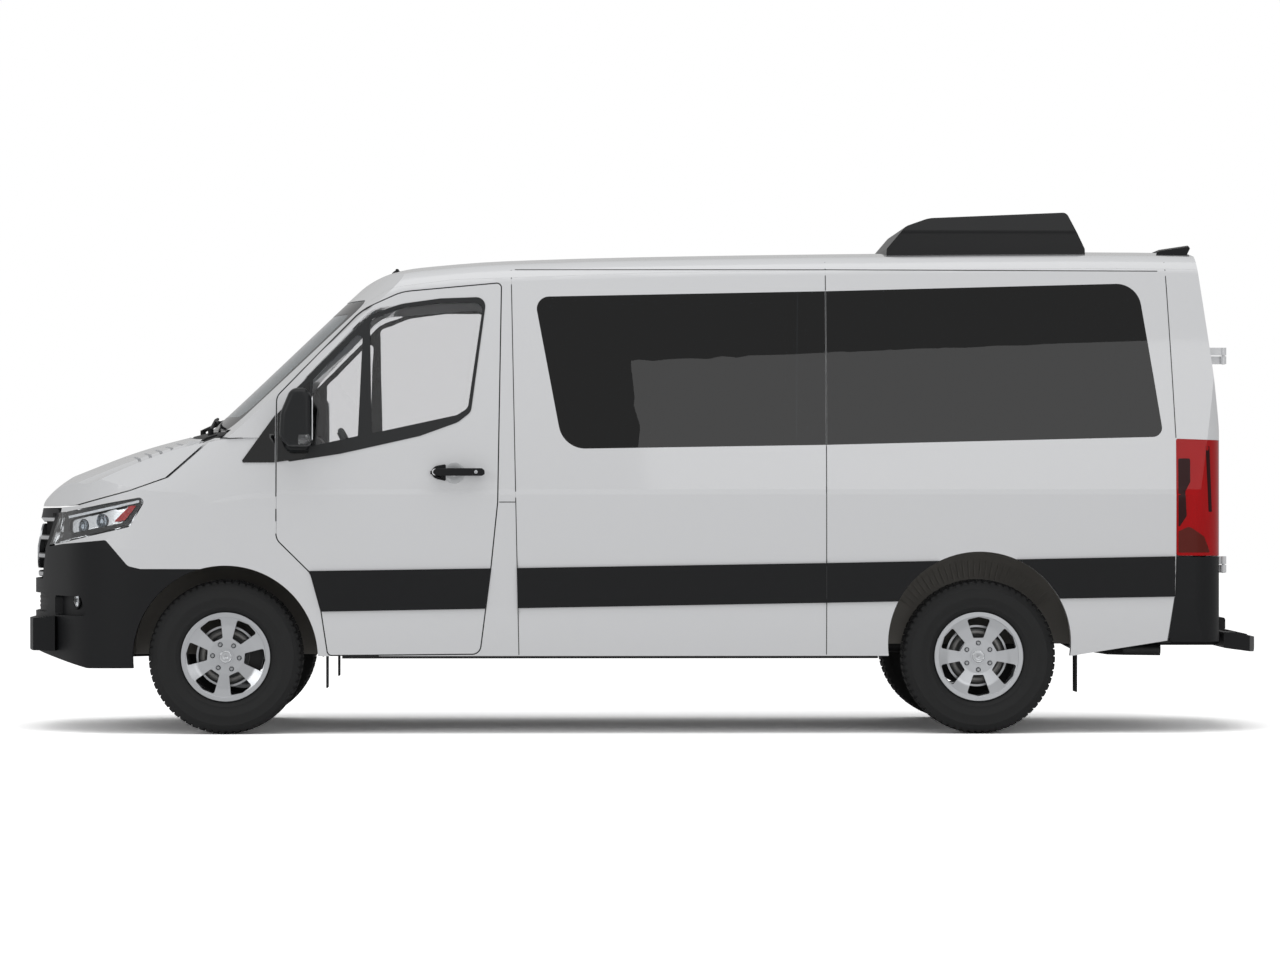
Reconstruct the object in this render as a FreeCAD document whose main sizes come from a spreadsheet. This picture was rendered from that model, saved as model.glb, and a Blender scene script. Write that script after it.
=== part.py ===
# Minibus with a long fixed side window, a sliding door on the right, twin rear doors and a roof cooling unit.
# Row frame: millimetres, +Z up, +X towards the rear, the driver's side at -Y.
# The origin is on the ground, at the middle of the overall length.
import FreeCAD
import Part
import math
import os

from FreeCAD import Vector, Placement, Rotation

doc = FreeCAD.newDocument("minibus")
sheet = doc.addObject("Spreadsheet::Sheet", "Sizes")

# Driving dimensions: alias, size in millimetres or degrees, what it is.
SIZES = [
    ("overall_length", 6130, "front bumper bar to the rear edge of the step"),
    ("front_overhang", 1020, "front bumper bar to the front axle"),
    ("wheelbase", 3665, "front axle to rear axle"),
    ("half_width", 1010, "centre plane to the flat of the side"),
    ("roof_height", 2378, "ground to the crown of the roof"),
    ("sill_height", 380, "ground to the lower edge of the side"),
    ("crease_height", 1165, "ground to the body side crease"),
    ("wall", 55, "thickness of the side walls and doors"),
    ("roof_wall", 40, "thickness of the roof"),
    ("skin", 12, "thickness of glass and lamp lenses"),
    ("panel_gap", 6, "gap round doors and hood"),
    ("seat_gap", 0.3, "gap between a piece and its seat"),
    ("tyre_radius", 375, "wheel centre to tread"),
    ("tyre_width", 245, "width of the tyre"),
    ("rim_radius", 217, "wheel centre to the rim's outer edge"),
    ("bead_radius", 203, "seat of the tyre on the rim"),
    ("half_track", 860, "centre plane to the middle of a tyre"),
    ("front_arch_radius", 450, "radius of the front wheel arch"),
    ("rear_arch_radius", 446, "radius of the rear wheel arch"),
    ("rear_arch_rise", 66, "centre of the rear arch above the axle"),
    ("floor_height", 560, "ground to the underside of the floor"),
    ("floor_thickness", 60, "thickness of the floor"),
    ("kingpin_inset", 130, "wheel centre plane to the kingpin"),
    ("disc_radius", 150, "radius of a brake disc"),
    ("hub_radius", 70, "radius of the hub"),
    ("spindle_radius", 32, "radius of the wheel spindle"),
    ("cladding_low", 600, "lower edge of the side cladding"),
    ("cladding_high", 862, "upper edge of the side cladding"),
    ("cladding_proud", 9, "how far the cladding stands off the side"),
    ("seat_width", 480, "width of one seat"),
    ("seat_depth", 460, "depth of a seat cushion"),
    ("seat_pitch", 800, "distance between the rows of seats"),
    ("steering_wheel_radius", 195, "radius of the steering wheel"),
    ("steer_limit", 35, "largest steering angle"),
    ("step_width", 1500, "width of the rear step"),
    ("cooler_width", 1300, "width of the roof cooling unit"),
    ("exhaust_radius", 32, "radius of the exhaust pipe"),
    ("axle_radius", 55, "radius of the rear axle tube"),
    ("differential_radius", 165, "radius of the differential housing"),
    ("steering_grip", 16, "radius of the steering wheel's rim section"),
    ("hinge_pin_radius", 2.5, "radius of a door hinge pin"),
]
for row, (alias, size, note) in enumerate(SIZES, start=1):
    sheet.set(f"A{row}", str(size))
    sheet.setAlias(f"A{row}", alias)
    sheet.set(f"B{row}", note)
doc.recompute()


def size(alias):
    return float(getattr(sheet, alias))


LENGTH = size("overall_length")
FRONT = -LENGTH / 2
FRONT_AXLE = FRONT + size("front_overhang")
REAR_AXLE = FRONT_AXLE + size("wheelbase")
HALF = size("half_width")
ROOF = size("roof_height")
SILL = size("sill_height")
CREASE = size("crease_height")
WALL = size("wall")
ROOF_WALL = size("roof_wall")
SKIN = size("skin")
GAP = size("panel_gap")
SEAT = size("seat_gap")
AXLE_Z = size("tyre_radius")
TRACK = size("half_track")
FAR = 2 * LENGTH

nodes = {}


def node(name, shape):
    """Adds one sub-part of the model from a finished shape."""
    piece = doc.addObject("Part::Feature", name)
    piece.Label = name
    piece.Shape = shape
    nodes[name] = piece
    return piece


def bound(kind, name, place=(0, 0, 0), axis=(0, 0, 1), angle=0, **cells):
    """Adds a primitive whose sizes are expressions on the sheet."""
    piece = doc.addObject("Part::" + kind, name)
    for key, formula in cells.items():
        if isinstance(formula, str):
            piece.setExpression(key, formula)
        else:
            setattr(piece, key, formula)
    piece.Placement = Placement(Vector(*place), Rotation(Vector(*axis), angle))
    return piece


def loose(shape):
    """A finished shape as an object that a fusion can take."""
    piece = doc.addObject("Part::Feature", "piece")
    piece.Shape = shape
    return piece


def fusion(name, pieces):
    """Adds one sub-part of the model as the fusion of objects."""
    piece = doc.addObject("Part::MultiFuse", name)
    piece.Label = name
    piece.Shapes = pieces
    piece.Refine = True
    nodes[name] = piece
    return piece


def box(x0, x1, y0, y1, z0, z1):
    return Part.makeBox(x1 - x0, y1 - y0, z1 - z0, Vector(x0, y0, z0))


def rod(start, end, radius):
    a, b = Vector(*start), Vector(*end)
    return Part.makeCylinder(radius, (b - a).Length, a, b - a)


def both_sides(shape):
    """The shape with its mirror image on the other side of the centre plane."""
    return Part.makeCompound([shape, mirrored(shape)])


def mirrored(shape):
    return shape.mirror(Vector(0, 0, 0), Vector(0, 1, 0))


def spline(points, start=None, end=None):
    curve = Part.BSplineCurve()
    vectors = [Vector(*p) for p in points]
    if start is None:
        curve.interpolate(vectors)
    else:
        curve.interpolate(Points=vectors, InitialTangent=Vector(*start), FinalTangent=Vector(*end))
    return curve.toShape()


def rounded(points):
    """A closed wire through (x, z, radius) corners, in the XZ plane at y = 0."""
    count = len(points)
    corners = []
    for i in range(count):
        x, z, radius = points[i]
        here = Vector(x, 0, z)
        before = Vector(points[i - 1][0], 0, points[i - 1][1]) - here
        after = Vector(points[(i + 1) % count][0], 0, points[(i + 1) % count][1]) - here
        if radius == 0:
            corners.append((here, None, here))
            continue
        half = before.getAngle(after) / 2
        reach = radius / math.tan(half)
        a = here + before.normalize() * reach
        b = here + after.normalize() * reach
        middle = (before + after).normalize()
        tip = here + middle * (radius / math.sin(half) - radius)
        corners.append((a, tip, b))
    edges = []
    for i in range(count):
        a, tip, b = corners[i]
        if tip is not None:
            edges.append(Part.Arc(a, tip, b).toShape())
        following = corners[(i + 1) % count][0]
        if (following - b).Length > 1e-6:
            edges.append(Part.LineSegment(b, following).toShape())
    return Part.Wire(edges)


def bowed(shape, x, direction, sagitta, half_width):
    """The shape cut to a plan that bows back by the sagitta at its half width, from x at the centre."""
    radius = (half_width ** 2 + sagitta ** 2) / (2 * sagitta)
    centre = x - direction * radius
    return shape.common(rod((centre, 0, -100), (centre, 0, 3000), radius))


def prism(points, y0, y1):
    """The (x, z, radius) outline pushed along Y from y0 to y1."""
    face = Part.Face(rounded(points))
    face.translate(Vector(0, y0, 0))
    return face.extrude(Vector(0, y1 - y0, 0))


def grown(points, amount):
    """The (x, z, radius) outline moved outwards by amount, corner by corner."""
    count = len(points)
    area = sum(points[i - 1][0] * points[i][1] - points[i][0] * points[i - 1][1] for i in range(count))
    turn = 1 if area > 0 else -1
    out = []
    for i in range(count):
        x, z, radius = points[i]
        a = Vector(x - points[i - 1][0], 0, z - points[i - 1][1]).normalize()
        b = Vector(points[(i + 1) % count][0] - x, 0, points[(i + 1) % count][1] - z).normalize()
        na = Vector(a.z * turn, 0, -a.x * turn)
        nb = Vector(b.z * turn, 0, -b.x * turn)
        shift = (na + nb) * (amount / (1 + na.dot(nb)))
        out.append((x + shift.x, z + shift.z, max(radius + amount, 0) if radius else 0))
    return out


# The body's outer form: a loft of cross-sections for the cabin and one for the nose,
# trimmed by the bowed windscreen and front, by the plan outline and by the leaning tail.

# Cabin stations: x, height of the crown below the roof height.
ROOF_LINE = [(-2300, -520), (-2060, -470), (-1750, -400), (-1500, -265), (-1250, -108), (-950, -64), (-640, -45),
             (0, -26), (1000, -10), (2245, 0), (2950, -8)]

# Nose stations: x, crown of the hood, how far the top of the flank draws in.
NOSE_LINE = [(-3150, 1150, 70), (-2900, 1232, 66), (-2690, 1318, 60), (-2450, 1400, 46), (-2190, 1467, 22),
             (-1980, 1515, 6), (-1500, 1590, 0)]


def section(x, inset, flank_top, upper, crown):
    """Left half of a cross-section at x: tucked sill, flat flank, crease, side arc, shoulder, roof arc."""
    half = HALF - inset
    a, b, c, d, e = upper
    radius = (e[0] ** 2 + (crown - e[1]) ** 2) / (2 * (crown - e[1]))
    turn = math.asin(e[0] / radius) / 2
    f = (radius * math.sin(turn), crown - radius * (1 - math.cos(turn)))
    runs = [
        ((half - 60, 200), (half - 12, SILL + 60), (half, SILL + 300)),
        ((half, SILL + 300), (half, flank_top)),
        ((half, flank_top), a),
        (a, b, c),
        (c, d, e),
        (e, f, (0, crown)),
        ((0, crown), (0, 200)),
        ((0, 200), (half - 60, 200)),
    ]
    edges = []
    for run in runs:
        points = [Vector(x, -y, z) for y, z in run]
        curve = Part.Arc(*points) if len(points) == 3 else Part.LineSegment(*points)
        edges.append(curve.toShape())
    return Part.Wire(edges)


def along(table, x, column=1):
    """A smooth value at x from rows of a table, without overshoot between the rows."""
    rows = [(row[0], row[column]) for row in table]
    slopes = [(b[1] - a[1]) / (b[0] - a[0]) for a, b in zip(rows, rows[1:])]
    inner = [0 if p * q <= 0 else 2 * p * q / (p + q) for p, q in zip(slopes, slopes[1:])]
    lean = [slopes[0]] + inner + [slopes[-1]]
    i = max(0, min(len(slopes) - 1, sum(1 for row in rows[1:] if row[0] < x)))
    (x0, y0), (x1, y1) = rows[i], rows[i + 1]
    step = x1 - x0
    u = (x - x0) / step
    return (y0 * (1 + 2 * u) * (1 - u) ** 2 + step * lean[i] * u * (1 - u) ** 2
            + y1 * u * u * (3 - 2 * u) + step * lean[i + 1] * u * u * (u - 1))


def stations(table, step):
    """Evenly spaced places along a table, so that the loft through them stays smooth."""
    first, last = table[0][0], table[-1][0]
    count = round((last - first) / step)
    return [first + (last - first) * i / count for i in range(count + 1)]


def cabin_form(inset):
    """Left half of the cabin, shrunk by inset."""
    wires = []
    for x in stations(ROOF_LINE, 250):
        crown = ROOF + along(ROOF_LINE, x) - inset * ROOF_WALL / WALL
        upper = [
            (HALF - 6 - inset, CREASE + 25),
            (HALF - 52 - inset, (CREASE + crown) / 2 - 20),
            (HALF - 132 - inset, crown - 128),
            (HALF - 166 - inset, crown - 74),
            (HALF - 250 - inset, crown - 40),
        ]
        wires.append(section(x, inset, CREASE, upper, crown))
    return Part.makeLoft(wires, True, False)


def nose_form(inset):
    """Left half of the nose, shrunk by inset."""
    wires = []
    for x in stations(NOSE_LINE, 180):
        crown = along(NOSE_LINE, x) - inset
        draw = along(NOSE_LINE, x, 2)
        share = draw / 70
        half = HALF - inset
        upper = [
            (half - 6 + 5 * share, (CREASE + 25) * (1 - share) + 880 * share),
            (half - 16 - 0.7 * draw, (CREASE + 150) * (1 - share) + (crown - 230) * share),
            (half - 33 - 120 * share, (CREASE + 275) * (1 - share) + (crown - 130) * share),
            (half - 70 - 144 * share, (crown - 52) * (1 - share) + (crown - 92) * share),
            (half - 150 - 158 * share, (crown - 30) * (1 - share) + (crown - 62) * share),
        ]
        top = CREASE * (1 - share) + 860 * share
        wires.append(section(x, inset, top, upper, crown))
    return Part.makeLoft(wires, True, False)


TURN_X = 600


def turned(points):
    """The region ahead of a profile of (x, z) points, turned about an upright axis well behind it."""
    high, low = points[-1], points[0]
    corners = [high, (-4500, high[1]), (-4500, low[1]), low]
    edges = [spline([(x, 0, z) for x, z in points])]
    for a, b in zip(corners, corners[1:]):
        edges.append(Part.LineSegment(Vector(a[0], 0, a[1]), Vector(b[0], 0, b[1])).toShape())
    face = Part.Face(Part.Wire(edges))
    face.rotate(Vector(TURN_X, 0, 0), Vector(0, 0, 1), 30)
    return face.revolve(Vector(TURN_X, 0, 0), Vector(0, 0, 1), -60)


def ahead_of_screen(inset):
    """The space ahead of the windscreen's face."""
    curve = [(-2700, 1010), (-2190, 1456), (-1820, 1803), (-1450, 2152), (-1330, 2262), (-1150, 2430)]
    return turned([(x + inset * 0.72, z - inset * 0.69) for x, z in curve])


def ahead_of_front(inset):
    """The space ahead of the bumper, the grille and the hood's leading edge."""
    curve = [(-3030, 100), (-3040, 600), (-3046, 800), (-3044, 960), (-3003, 1109), (-2928, 1195), (-2780, 1290),
             (-2600, 1400)]
    return turned([(x + inset, z - (inset * 0.5 if z > 1000 else 0)) for x, z in curve])


# Plan of the nose: x, distance in from the side. Above the bumper it leans back with height.
NOSE_PLAN = [(-1450, -1), (-2000, -1), (-2300, 12), (-2560, 50), (-2740, 150), (-2860, 330), (-2970, 580),
             (-3044, HALF)]
BUMPER_TOP = 900
NOSE_LEAN = 0.19


def nose_plan(inset):
    """Left half of the nose seen from above, as an upright block that leans back above the bumper."""
    wires = []
    for z in (100, BUMPER_TOP, 1700):
        back = inset + max(0, z - BUMPER_TOP) * NOSE_LEAN
        points = [(x + back, -(HALF - inward - inset), z) for x, inward in NOSE_PLAN[:-1]]
        points.append((NOSE_PLAN[-1][0] + back, 0, z))
        front = spline(points, (-1, 0, 0), (0, 1, 0))
        corners = [points[-1], (-1200, 0, z), (-1200, points[0][1], z), points[0]]
        edges = [front]
        for a, b in zip(corners, corners[1:]):
            edges.append(Part.LineSegment(Vector(*a), Vector(*b)).toShape())
        wires.append(Part.Wire(edges))
    return Part.makeLoft(wires, True, True)


TAIL = 2812
TAIL_CORNER = 150


def tail_plan(inset):
    """Left half of the cabin seen from above, with a rounded rear corner and a slightly bowed back."""
    half = HALF + 1 - inset
    back = TAIL - inset
    start = Vector(-3000, -half, 0)
    side = Vector(back - 9 - TAIL_CORNER, -half, 0)
    bend = Vector(back - 9 - TAIL_CORNER * 0.29, -half + TAIL_CORNER * 0.29, 0)
    corner = Vector(back - 9, -half + TAIL_CORNER, 0)
    middle = Vector(back - 2, -half / 2, 0)
    end = Vector(back, 0, 0)
    front = Vector(-3000, 0, 0)
    edges = [
        Part.LineSegment(start, side).toShape(),
        Part.Arc(side, bend, corner).toShape(),
        Part.Arc(corner, middle, end).toShape(),
        Part.LineSegment(end, front).toShape(),
        Part.LineSegment(front, start).toShape(),
    ]
    return Part.Face(Part.Wire(edges)).extrude(Vector(0, 0, 2600))


def behind_tail(inset):
    """The space behind the rear face, which leans forward above the belt."""
    points = [(TAIL + 1, 1000, 0), (TAIL - 8, 1450, 900), (TAIL - 62, 1870, 900), (TAIL - 160, 2600, 0),
              (TAIL + 400, 2600, 0), (TAIL + 400, 1000, 0)]
    block = prism(points, -1500, 100)
    block.translate(Vector(-inset, 0, 0))
    return block


def cabin_body(inset):
    return cabin_form(inset).cut(ahead_of_screen(inset)).common(tail_plan(inset)).cut(behind_tail(inset))


def nose_body(inset):
    return nose_form(inset).cut(ahead_of_front(inset)).common(nose_plan(inset))


def cross_prism(points, x0, x1):
    """The (y, z, radius) outline pushed along X from x0 to x1."""
    face = Part.Face(rounded(points))
    face.rotate(Vector(0, 0, 0), Vector(0, 0, 1), 90)
    face.translate(Vector(x0, 0, 0))
    return face.extrude(Vector(x1 - x0, 0, 0))


def side_prism(points):
    """The outline cut through the left side."""
    return prism(points, -1400, 10)


def pane(shape, amount, direction):
    """The outer layer of a piece of wall, amount thick, seen along the inward direction."""
    inward = Vector(*direction).normalize()
    layer = shape.copy()
    layer.translate(inward * amount)
    return shape.cut(layer)


def solid_of(shape):
    """The largest solid of a boolean result."""
    solids = sorted(shape.Solids, key=lambda s: s.Volume)
    return solids[-1]


def joined(shapes):
    """Left and right halves, or pieces that overlap, as one solid."""
    return shapes[0].fuse(shapes[1:]).removeSplitter()


def whole(half):
    """A piece that crosses the centre plane, from its left half."""
    return joined([half, mirrored(half)])


def arch(radius, x, z):
    return rod((x, -1400, z), (x, 10, z), radius)


# Radial clearance of a pin in its bore.
RUN = 0.06

# The walls of the left half, split below into the panels that the real body has.
cabin_outer = cabin_body(0)
cabin_inside = cabin_body(WALL)
cabin_wall = cabin_outer.cut(cabin_inside).cut(box(-4000, 4000, -1500, 10, 100, SILL))
nose_inside = nose_body(WALL)
nose_wall = nose_body(0).cut(nose_inside)

# Outlines of openings and seams seen from the side: x, z, corner radius.
FRONT_DOOR = [(-1795, 950, 60), (-1795, 1640, 60), (-1390, 2060, 250), (-1190, 2150, 250), (-708, 2194, 20),
              (-726, 1128, 50), (-760, 798, 80), (-812, 392, 40), (-1545, 386, 20), (-1577, 600, 60),
              (-1628, 785, 60)]
FRONT_WINDOW = [(-1745, 1365, 30), (-862, 1560, 90), (-781, 2118, 60), (-1330, 2075, 160), (-1650, 1745, 40),
                (-1745, 1600, 30)]
SEAM_X = 875
SIDE_WINDOW = [(-545, 2128, 60), (SEAM_X - 3, 2156, 0), (SEAM_X - 3, 1406, 0), (-405, 1386, 130)]
QUARTER_WINDOW = [(SEAM_X + 3, 2156, 0), (2400, 2196, 120), (2518, 1446, 45), (SEAM_X + 3, 1406, 0)]
SLIDING_DOOR = [(-590, 2205, 30), (820, 2222, 30), (820, 396, 30), (-560, 388, 30)]
SLIDING_WINDOW = [(-530, 2128, 60), (765, 2154, 60), (765, 1405, 60), (-395, 1386, 130)]
ROOF_EDGE = [(-1560, 2000, 0), (-1450, 2050, 0), (-1250, 2172, 200), (-948, 2212, 400), (0, 2246, 0), (1000, 2262, 0),
             (2245, 2270, 0), (2950, 2262, 0), (2950, 2700, 0), (-1560, 2700, 0)]
CAB_REAR = [(-659, 2313), (-620, 371)]
REAR_SEAM = [(2520, 2600, 0), (2578, 1444, 300), (2577, 865, 300), (2572, 666, 200), (2526, 371, 0), (3000, 371, 0),
             (3000, 2600, 0)]
HOOD = [(-3300, 1100, 0), (-2900, 1104, 0), (-2788, 1113, 100), (-2514, 1186, 200), (-2178, 1303, 90),
        (-2122, 1440, 0), (-2122, 1640, 0), (-3300, 1640, 0)]
LAMP = [(-3300, 1040, 0), (-2841, 1079, 0), (-2600, 1126, 200), (-2421, 1157, 22), (-2510, 1007, 30),
        (-2861, 927, 0), (-3300, 860, 0)]
BUMPER = [(-3300, 845, 0), (-2861, 921, 0), (-2629, 943, 20), (-2518, 817, 40), (-2457, 803, 20), (-2045, 803, 0),
          (-2045, 322, 0), (-2421, 322, 60), (-2723, 318, 60), (-3020, 392, 0), (-3300, 392, 0)]
TAIL_LAMP = [(2578, 1436, 10), (2900, 1425, 0), (2900, 865, 0), (2578, 868, 10)]
REAR_BUMPER = [(2579, 862, 10), (2900, 860, 0), (2900, 447, 0), (2540, 447, 30), (2572, 666, 200)]
CLADDING = [(-1900, 591, 0), (2571, 668, 0), (2571, 864, 0), (890, 832, 0), (-620, 808, 0), (-1900, 790, 0)]

# Outlines seen from the front: y, z, corner radius.
GRILLE = [(-575, 1094, 40), (575, 1094, 40), (430, 700, 50), (-430, 700, 50)]
SCREEN = [(-850, 1470, 70), (850, 1470, 70), (730, 2118, 90), (-730, 2118, 90)]
REAR_DOOR_WIDTH = 862
REAR_DOOR = [(-REAR_DOOR_WIDTH, 585, 40), (-GAP / 2, 585, 10), (-GAP / 2, 2236, 10), (-792, 2236, 80),
             (-REAR_DOOR_WIDTH, 1900, 300)]
REAR_WINDOW = [(-790, 1445, 60), (-70, 1445, 60), (-70, 2120, 60), (-760, 2120, 90)]

ARCH_Z = 370
REAR_ARCH_Z = AXLE_Z + size("rear_arch_rise")
front_arch = arch(size("front_arch_radius"), FRONT_AXLE, ARCH_Z)
rear_arch = arch(size("rear_arch_radius"), REAR_AXLE, REAR_ARCH_Z)
cab_side = side_prism([(-4000, 2600, 0), (-665, 2600, 0), (CAB_REAR[0][0], CAB_REAR[0][1], 0),
                       (CAB_REAR[1][0], CAB_REAR[1][1], 0), (-614, 50, 0), (-4000, 50, 0)])
roof_block = side_prism(ROOF_EDGE)
screen_hole = cross_prism(grown(SCREEN, SEAT), -3000, -1150)
front_door_hole = side_prism(grown(FRONT_DOOR, GAP))
rear_end = side_prism(REAR_SEAM)

# Roof, with the header over the screen and over the rear doors.
roof_half = cabin_wall.common(roof_block).cut(screen_hole)
node("roof_panel", whole(solid_of(roof_half)))

# What lies below the roof seam.
below_roof = cabin_wall.cut(side_prism(grown(ROOF_EDGE, SEAT)))

# Screen pillar, rail over the door and the pillar behind it, one frame on each side.
cab = below_roof.common(cab_side).cut(screen_hole)
cab = cab.cut(box(-3000, -1300, -1400, 10, 0, 1440)).cut(box(-3000, -1700, -871, 10, 0, 1480))
cab_frame = solid_of(cab.cut(front_door_hole))
node("cab_frames", both_sides(cab_frame))

# Front doors, with the window cut and the glass flush in it.
door_wall = solid_of(cabin_wall.common(box(-2200, 0, -1400, -770, 0, 2600)).common(side_prism(FRONT_DOOR)))
door_shell = door_wall.cut(side_prism(grown(FRONT_WINDOW, SEAT)))
door_glass = pane(door_wall.common(side_prism(FRONT_WINDOW)), SKIN, (0, 1, -0.12))
door_shell = solid_of(door_shell)

# Side panels behind the cab, with a seam between the front one and the rear quarter.
side = below_roof.cut(side_prism([(-4000, 2600, 0), (-665 + SEAT, 2600, 0), (CAB_REAR[0][0] + SEAT, CAB_REAR[0][1], 0),
                                  (CAB_REAR[1][0] + SEAT, CAB_REAR[1][1], 0), (-614, 50, 0), (-4000, 50, 0)]))
side = side.cut(rear_end)
front_side = side.common(box(-1000, SEAM_X - SEAT / 2, -1400, 10, 0, 2600))
REAR_UNDERCUT = [(2060, 378, 0), (2700, 480, 0), (2700, 200, 0), (2060, 200, 0)]
quarter = side.common(box(SEAM_X + SEAT / 2, 3000, -1400, 10, 0, 2600)).cut(rear_arch)
quarter = quarter.cut(side_prism(REAR_UNDERCUT))
side_panel = front_side.cut(side_prism(grown(SIDE_WINDOW, SEAT)))
quarter_panel = solid_of(quarter.cut(side_prism(grown(QUARTER_WINDOW, SEAT))))
node("side_panel_left", solid_of(side_panel))
side_glass = pane(front_side.common(side_prism(SIDE_WINDOW)), SKIN, (0, 1, -0.12))
quarter_glass = pane(quarter.common(side_prism(QUARTER_WINDOW)), SKIN, (0, 1, -0.12))
left_glass = [solid_of(side_glass), solid_of(quarter_glass)]

# The right side has a sliding door with its rail along the quarter panel.
RAIL = [(835, 1240, 0), (2330, 1240, 12), (2330, 1212, 12), (835, 1212, 0)]
rail_cut = prism(RAIL, -HALF - 20, -HALF + 22)
right_side = solid_of(front_side.cut(side_prism(grown(SLIDING_DOOR, GAP))))
sliding = front_side.common(side_prism(SLIDING_DOOR))
sliding_shell = solid_of(sliding.cut(side_prism(grown(SLIDING_WINDOW, SEAT))))
sliding_glass = pane(sliding.common(side_prism(SLIDING_WINDOW)), SKIN, (0, 1, -0.12))
node("side_panel_right", mirrored(right_side))
node("quarter_panels", Part.makeCompound([quarter_panel, mirrored(solid_of(quarter_panel.cut(rail_cut)))]))
node("sliding_door", mirrored(sliding_shell))
right_glass = [mirrored(solid_of(sliding_glass)), mirrored(solid_of(quarter_glass))]
node("side_glass", Part.makeCompound(left_glass + right_glass))

# Fender, from the lamp back to the door, with the wheel arch cut through it.
HOOD_REAR = 38
hood_hole = side_prism(grown(HOOD, GAP)).common(ahead_of_screen(-HOOD_REAR))
grille_hole = cross_prism(grown(GRILLE, SEAT), -3300, -2500)
lamp_hole = side_prism(grown(LAMP, SEAT))
bumper_hole = side_prism(grown(BUMPER, SEAT))
fender = nose_wall.cut(box(-4000, 0, -1400, 10, 1440 - SEAT, 2600)).cut(box(-2330, -1400, -871, 10, 1000, 1500))
fender = fender.cut(front_arch).cut(box(-4000, 0, -1400, 10, 0, SILL)).cut(front_door_hole)
fender = fender.cut(hood_hole).cut(bumper_hole).cut(lamp_hole).cut(grille_hole)
fender = solid_of(fender.cut(box(-3300, -2700, -580, 10, 900, 1200)))
DOOR_HINGE_X = FRONT_DOOR[0][0] - GAP / 2
DOOR_HINGE_Y = HALF - 1.5
PIN = size("hinge_pin_radius")
door_pins = []
for z in (975, 1095):
    door_pins.append(rod((DOOR_HINGE_X, -DOOR_HINGE_Y, z), (DOOR_HINGE_X, -DOOR_HINGE_Y, z + 60), PIN))
    door_pins.append(box(DOOR_HINGE_X - GAP, DOOR_HINGE_X, -DOOR_HINGE_Y - 1, -DOOR_HINGE_Y + PIN, z + 5, z + 55))
fender = joined([fender] + door_pins)
node("fenders", both_sides(fender))

# Hood, with a row of slots in each rear corner.
HOOD_SLOTS = 5
HOOD_SLOT_DEPTH = 14
HOOD_AXIS_X = -2113
HOOD_AXIS_Z = 1412
HOOD_PIN = 5
hood = nose_wall.common(side_prism(HOOD)).common(ahead_of_screen(-HOOD_REAR - GAP - 4)).cut(grille_hole)
slots = []
for i in range(HOOD_SLOTS):
    slot = box(0, 14, -110, 110, 1200, 1500)
    slot.rotate(Vector(0, 0, 0), Vector(0, 0, 1), 12)
    slot.translate(Vector(-2500 + 52 * i, -690, 0))
    slots.append(slot)
hood = hood.cut(Part.makeCompound(slots).cut(nose_form(HOOD_SLOT_DEPTH)))
hood_arm = box(-2235, HOOD_AXIS_X, -838, -800, 1400, 1424)
hood_eye = rod((HOOD_AXIS_X, -838, HOOD_AXIS_Z), (HOOD_AXIS_X, -800, HOOD_AXIS_Z), 12)
hood_bore = rod((HOOD_AXIS_X, -900, HOOD_AXIS_Z), (HOOD_AXIS_X, -700, HOOD_AXIS_Z), HOOD_PIN + RUN)
hood = joined([solid_of(hood), hood_arm, hood_eye]).cut(hood_bore)
node("hood", whole(hood))

# Shelf between the hood and the screen, which carries the wipers and the hood's hinges.
cowl = nose_wall.common(box(-2330, -1960, -870.5, 10, 1340, 1470 - SEAT)).cut(ahead_of_screen(-HOOD_REAR))
hinge_pocket = box(-2300, -2092, -846, -792, 1385, 1480)
cowl = cowl.cut(hinge_pocket)
cowl_ear = box(HOOD_AXIS_X - 8, -2075, -866, -845, 1395, 1428)
cowl_pin = rod((HOOD_AXIS_X, -860, HOOD_AXIS_Z), (HOOD_AXIS_X, -798, HOOD_AXIS_Z), HOOD_PIN)
cowl_shape = whole(joined([solid_of(cowl), cowl_ear, cowl_pin]))
node("cowl", cowl_shape)

# Windscreen, the outer layer of the bowed face.
screen = ahead_of_screen(3 + SKIN).cut(ahead_of_screen(3)).common(cross_prism(SCREEN, -2600, -1300))
node("windshield", solid_of(whole(screen.common(cabin_form(3)))))

# Front bumper: the wall of the nose below the fender, with a step bar, an air intake and fog lamp recesses.
STEP_BAR = [(FRONT, 400, 12), (FRONT, 552, 12), (-2900, 566, 0), (-2900, 396, 0)]
STEP_BAR_WIDTH = 640
STEP_BAR_BOW = 58
INTAKE_DEPTH = 22
FOG_Y = -700
FOG_Z = 620
FOG_RADIUS = 42
intake = cross_prism([(-520, 676, 20), (520, 676, 20), (470, 585, 20), (-470, 585, 20)], -3200, -2700)
intake = intake.cut(nose_form(0).common(nose_plan(INTAKE_DEPTH)))
recess = cross_prism([(-872, 572, 15), (-842, 668, 20), (-590, 668, 20), (-590, 572, 15)], -3200, -2600)
recess = recess.cut(nose_form(0).common(nose_plan(26)))
bumper = nose_wall.common(side_prism(BUMPER)).cut(front_arch).cut(grille_hole).cut(intake).cut(recess)
step_bar = bowed(prism(STEP_BAR, -STEP_BAR_WIDTH, 0), FRONT, -1, STEP_BAR_BOW, STEP_BAR_WIDTH)
step_bar = step_bar.cut(nose_form(0).common(nose_plan(WALL / 2)))
bumper = solid_of(bumper).fuse(solid_of(step_bar))
node("front_bumper", whole(bumper))

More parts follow.
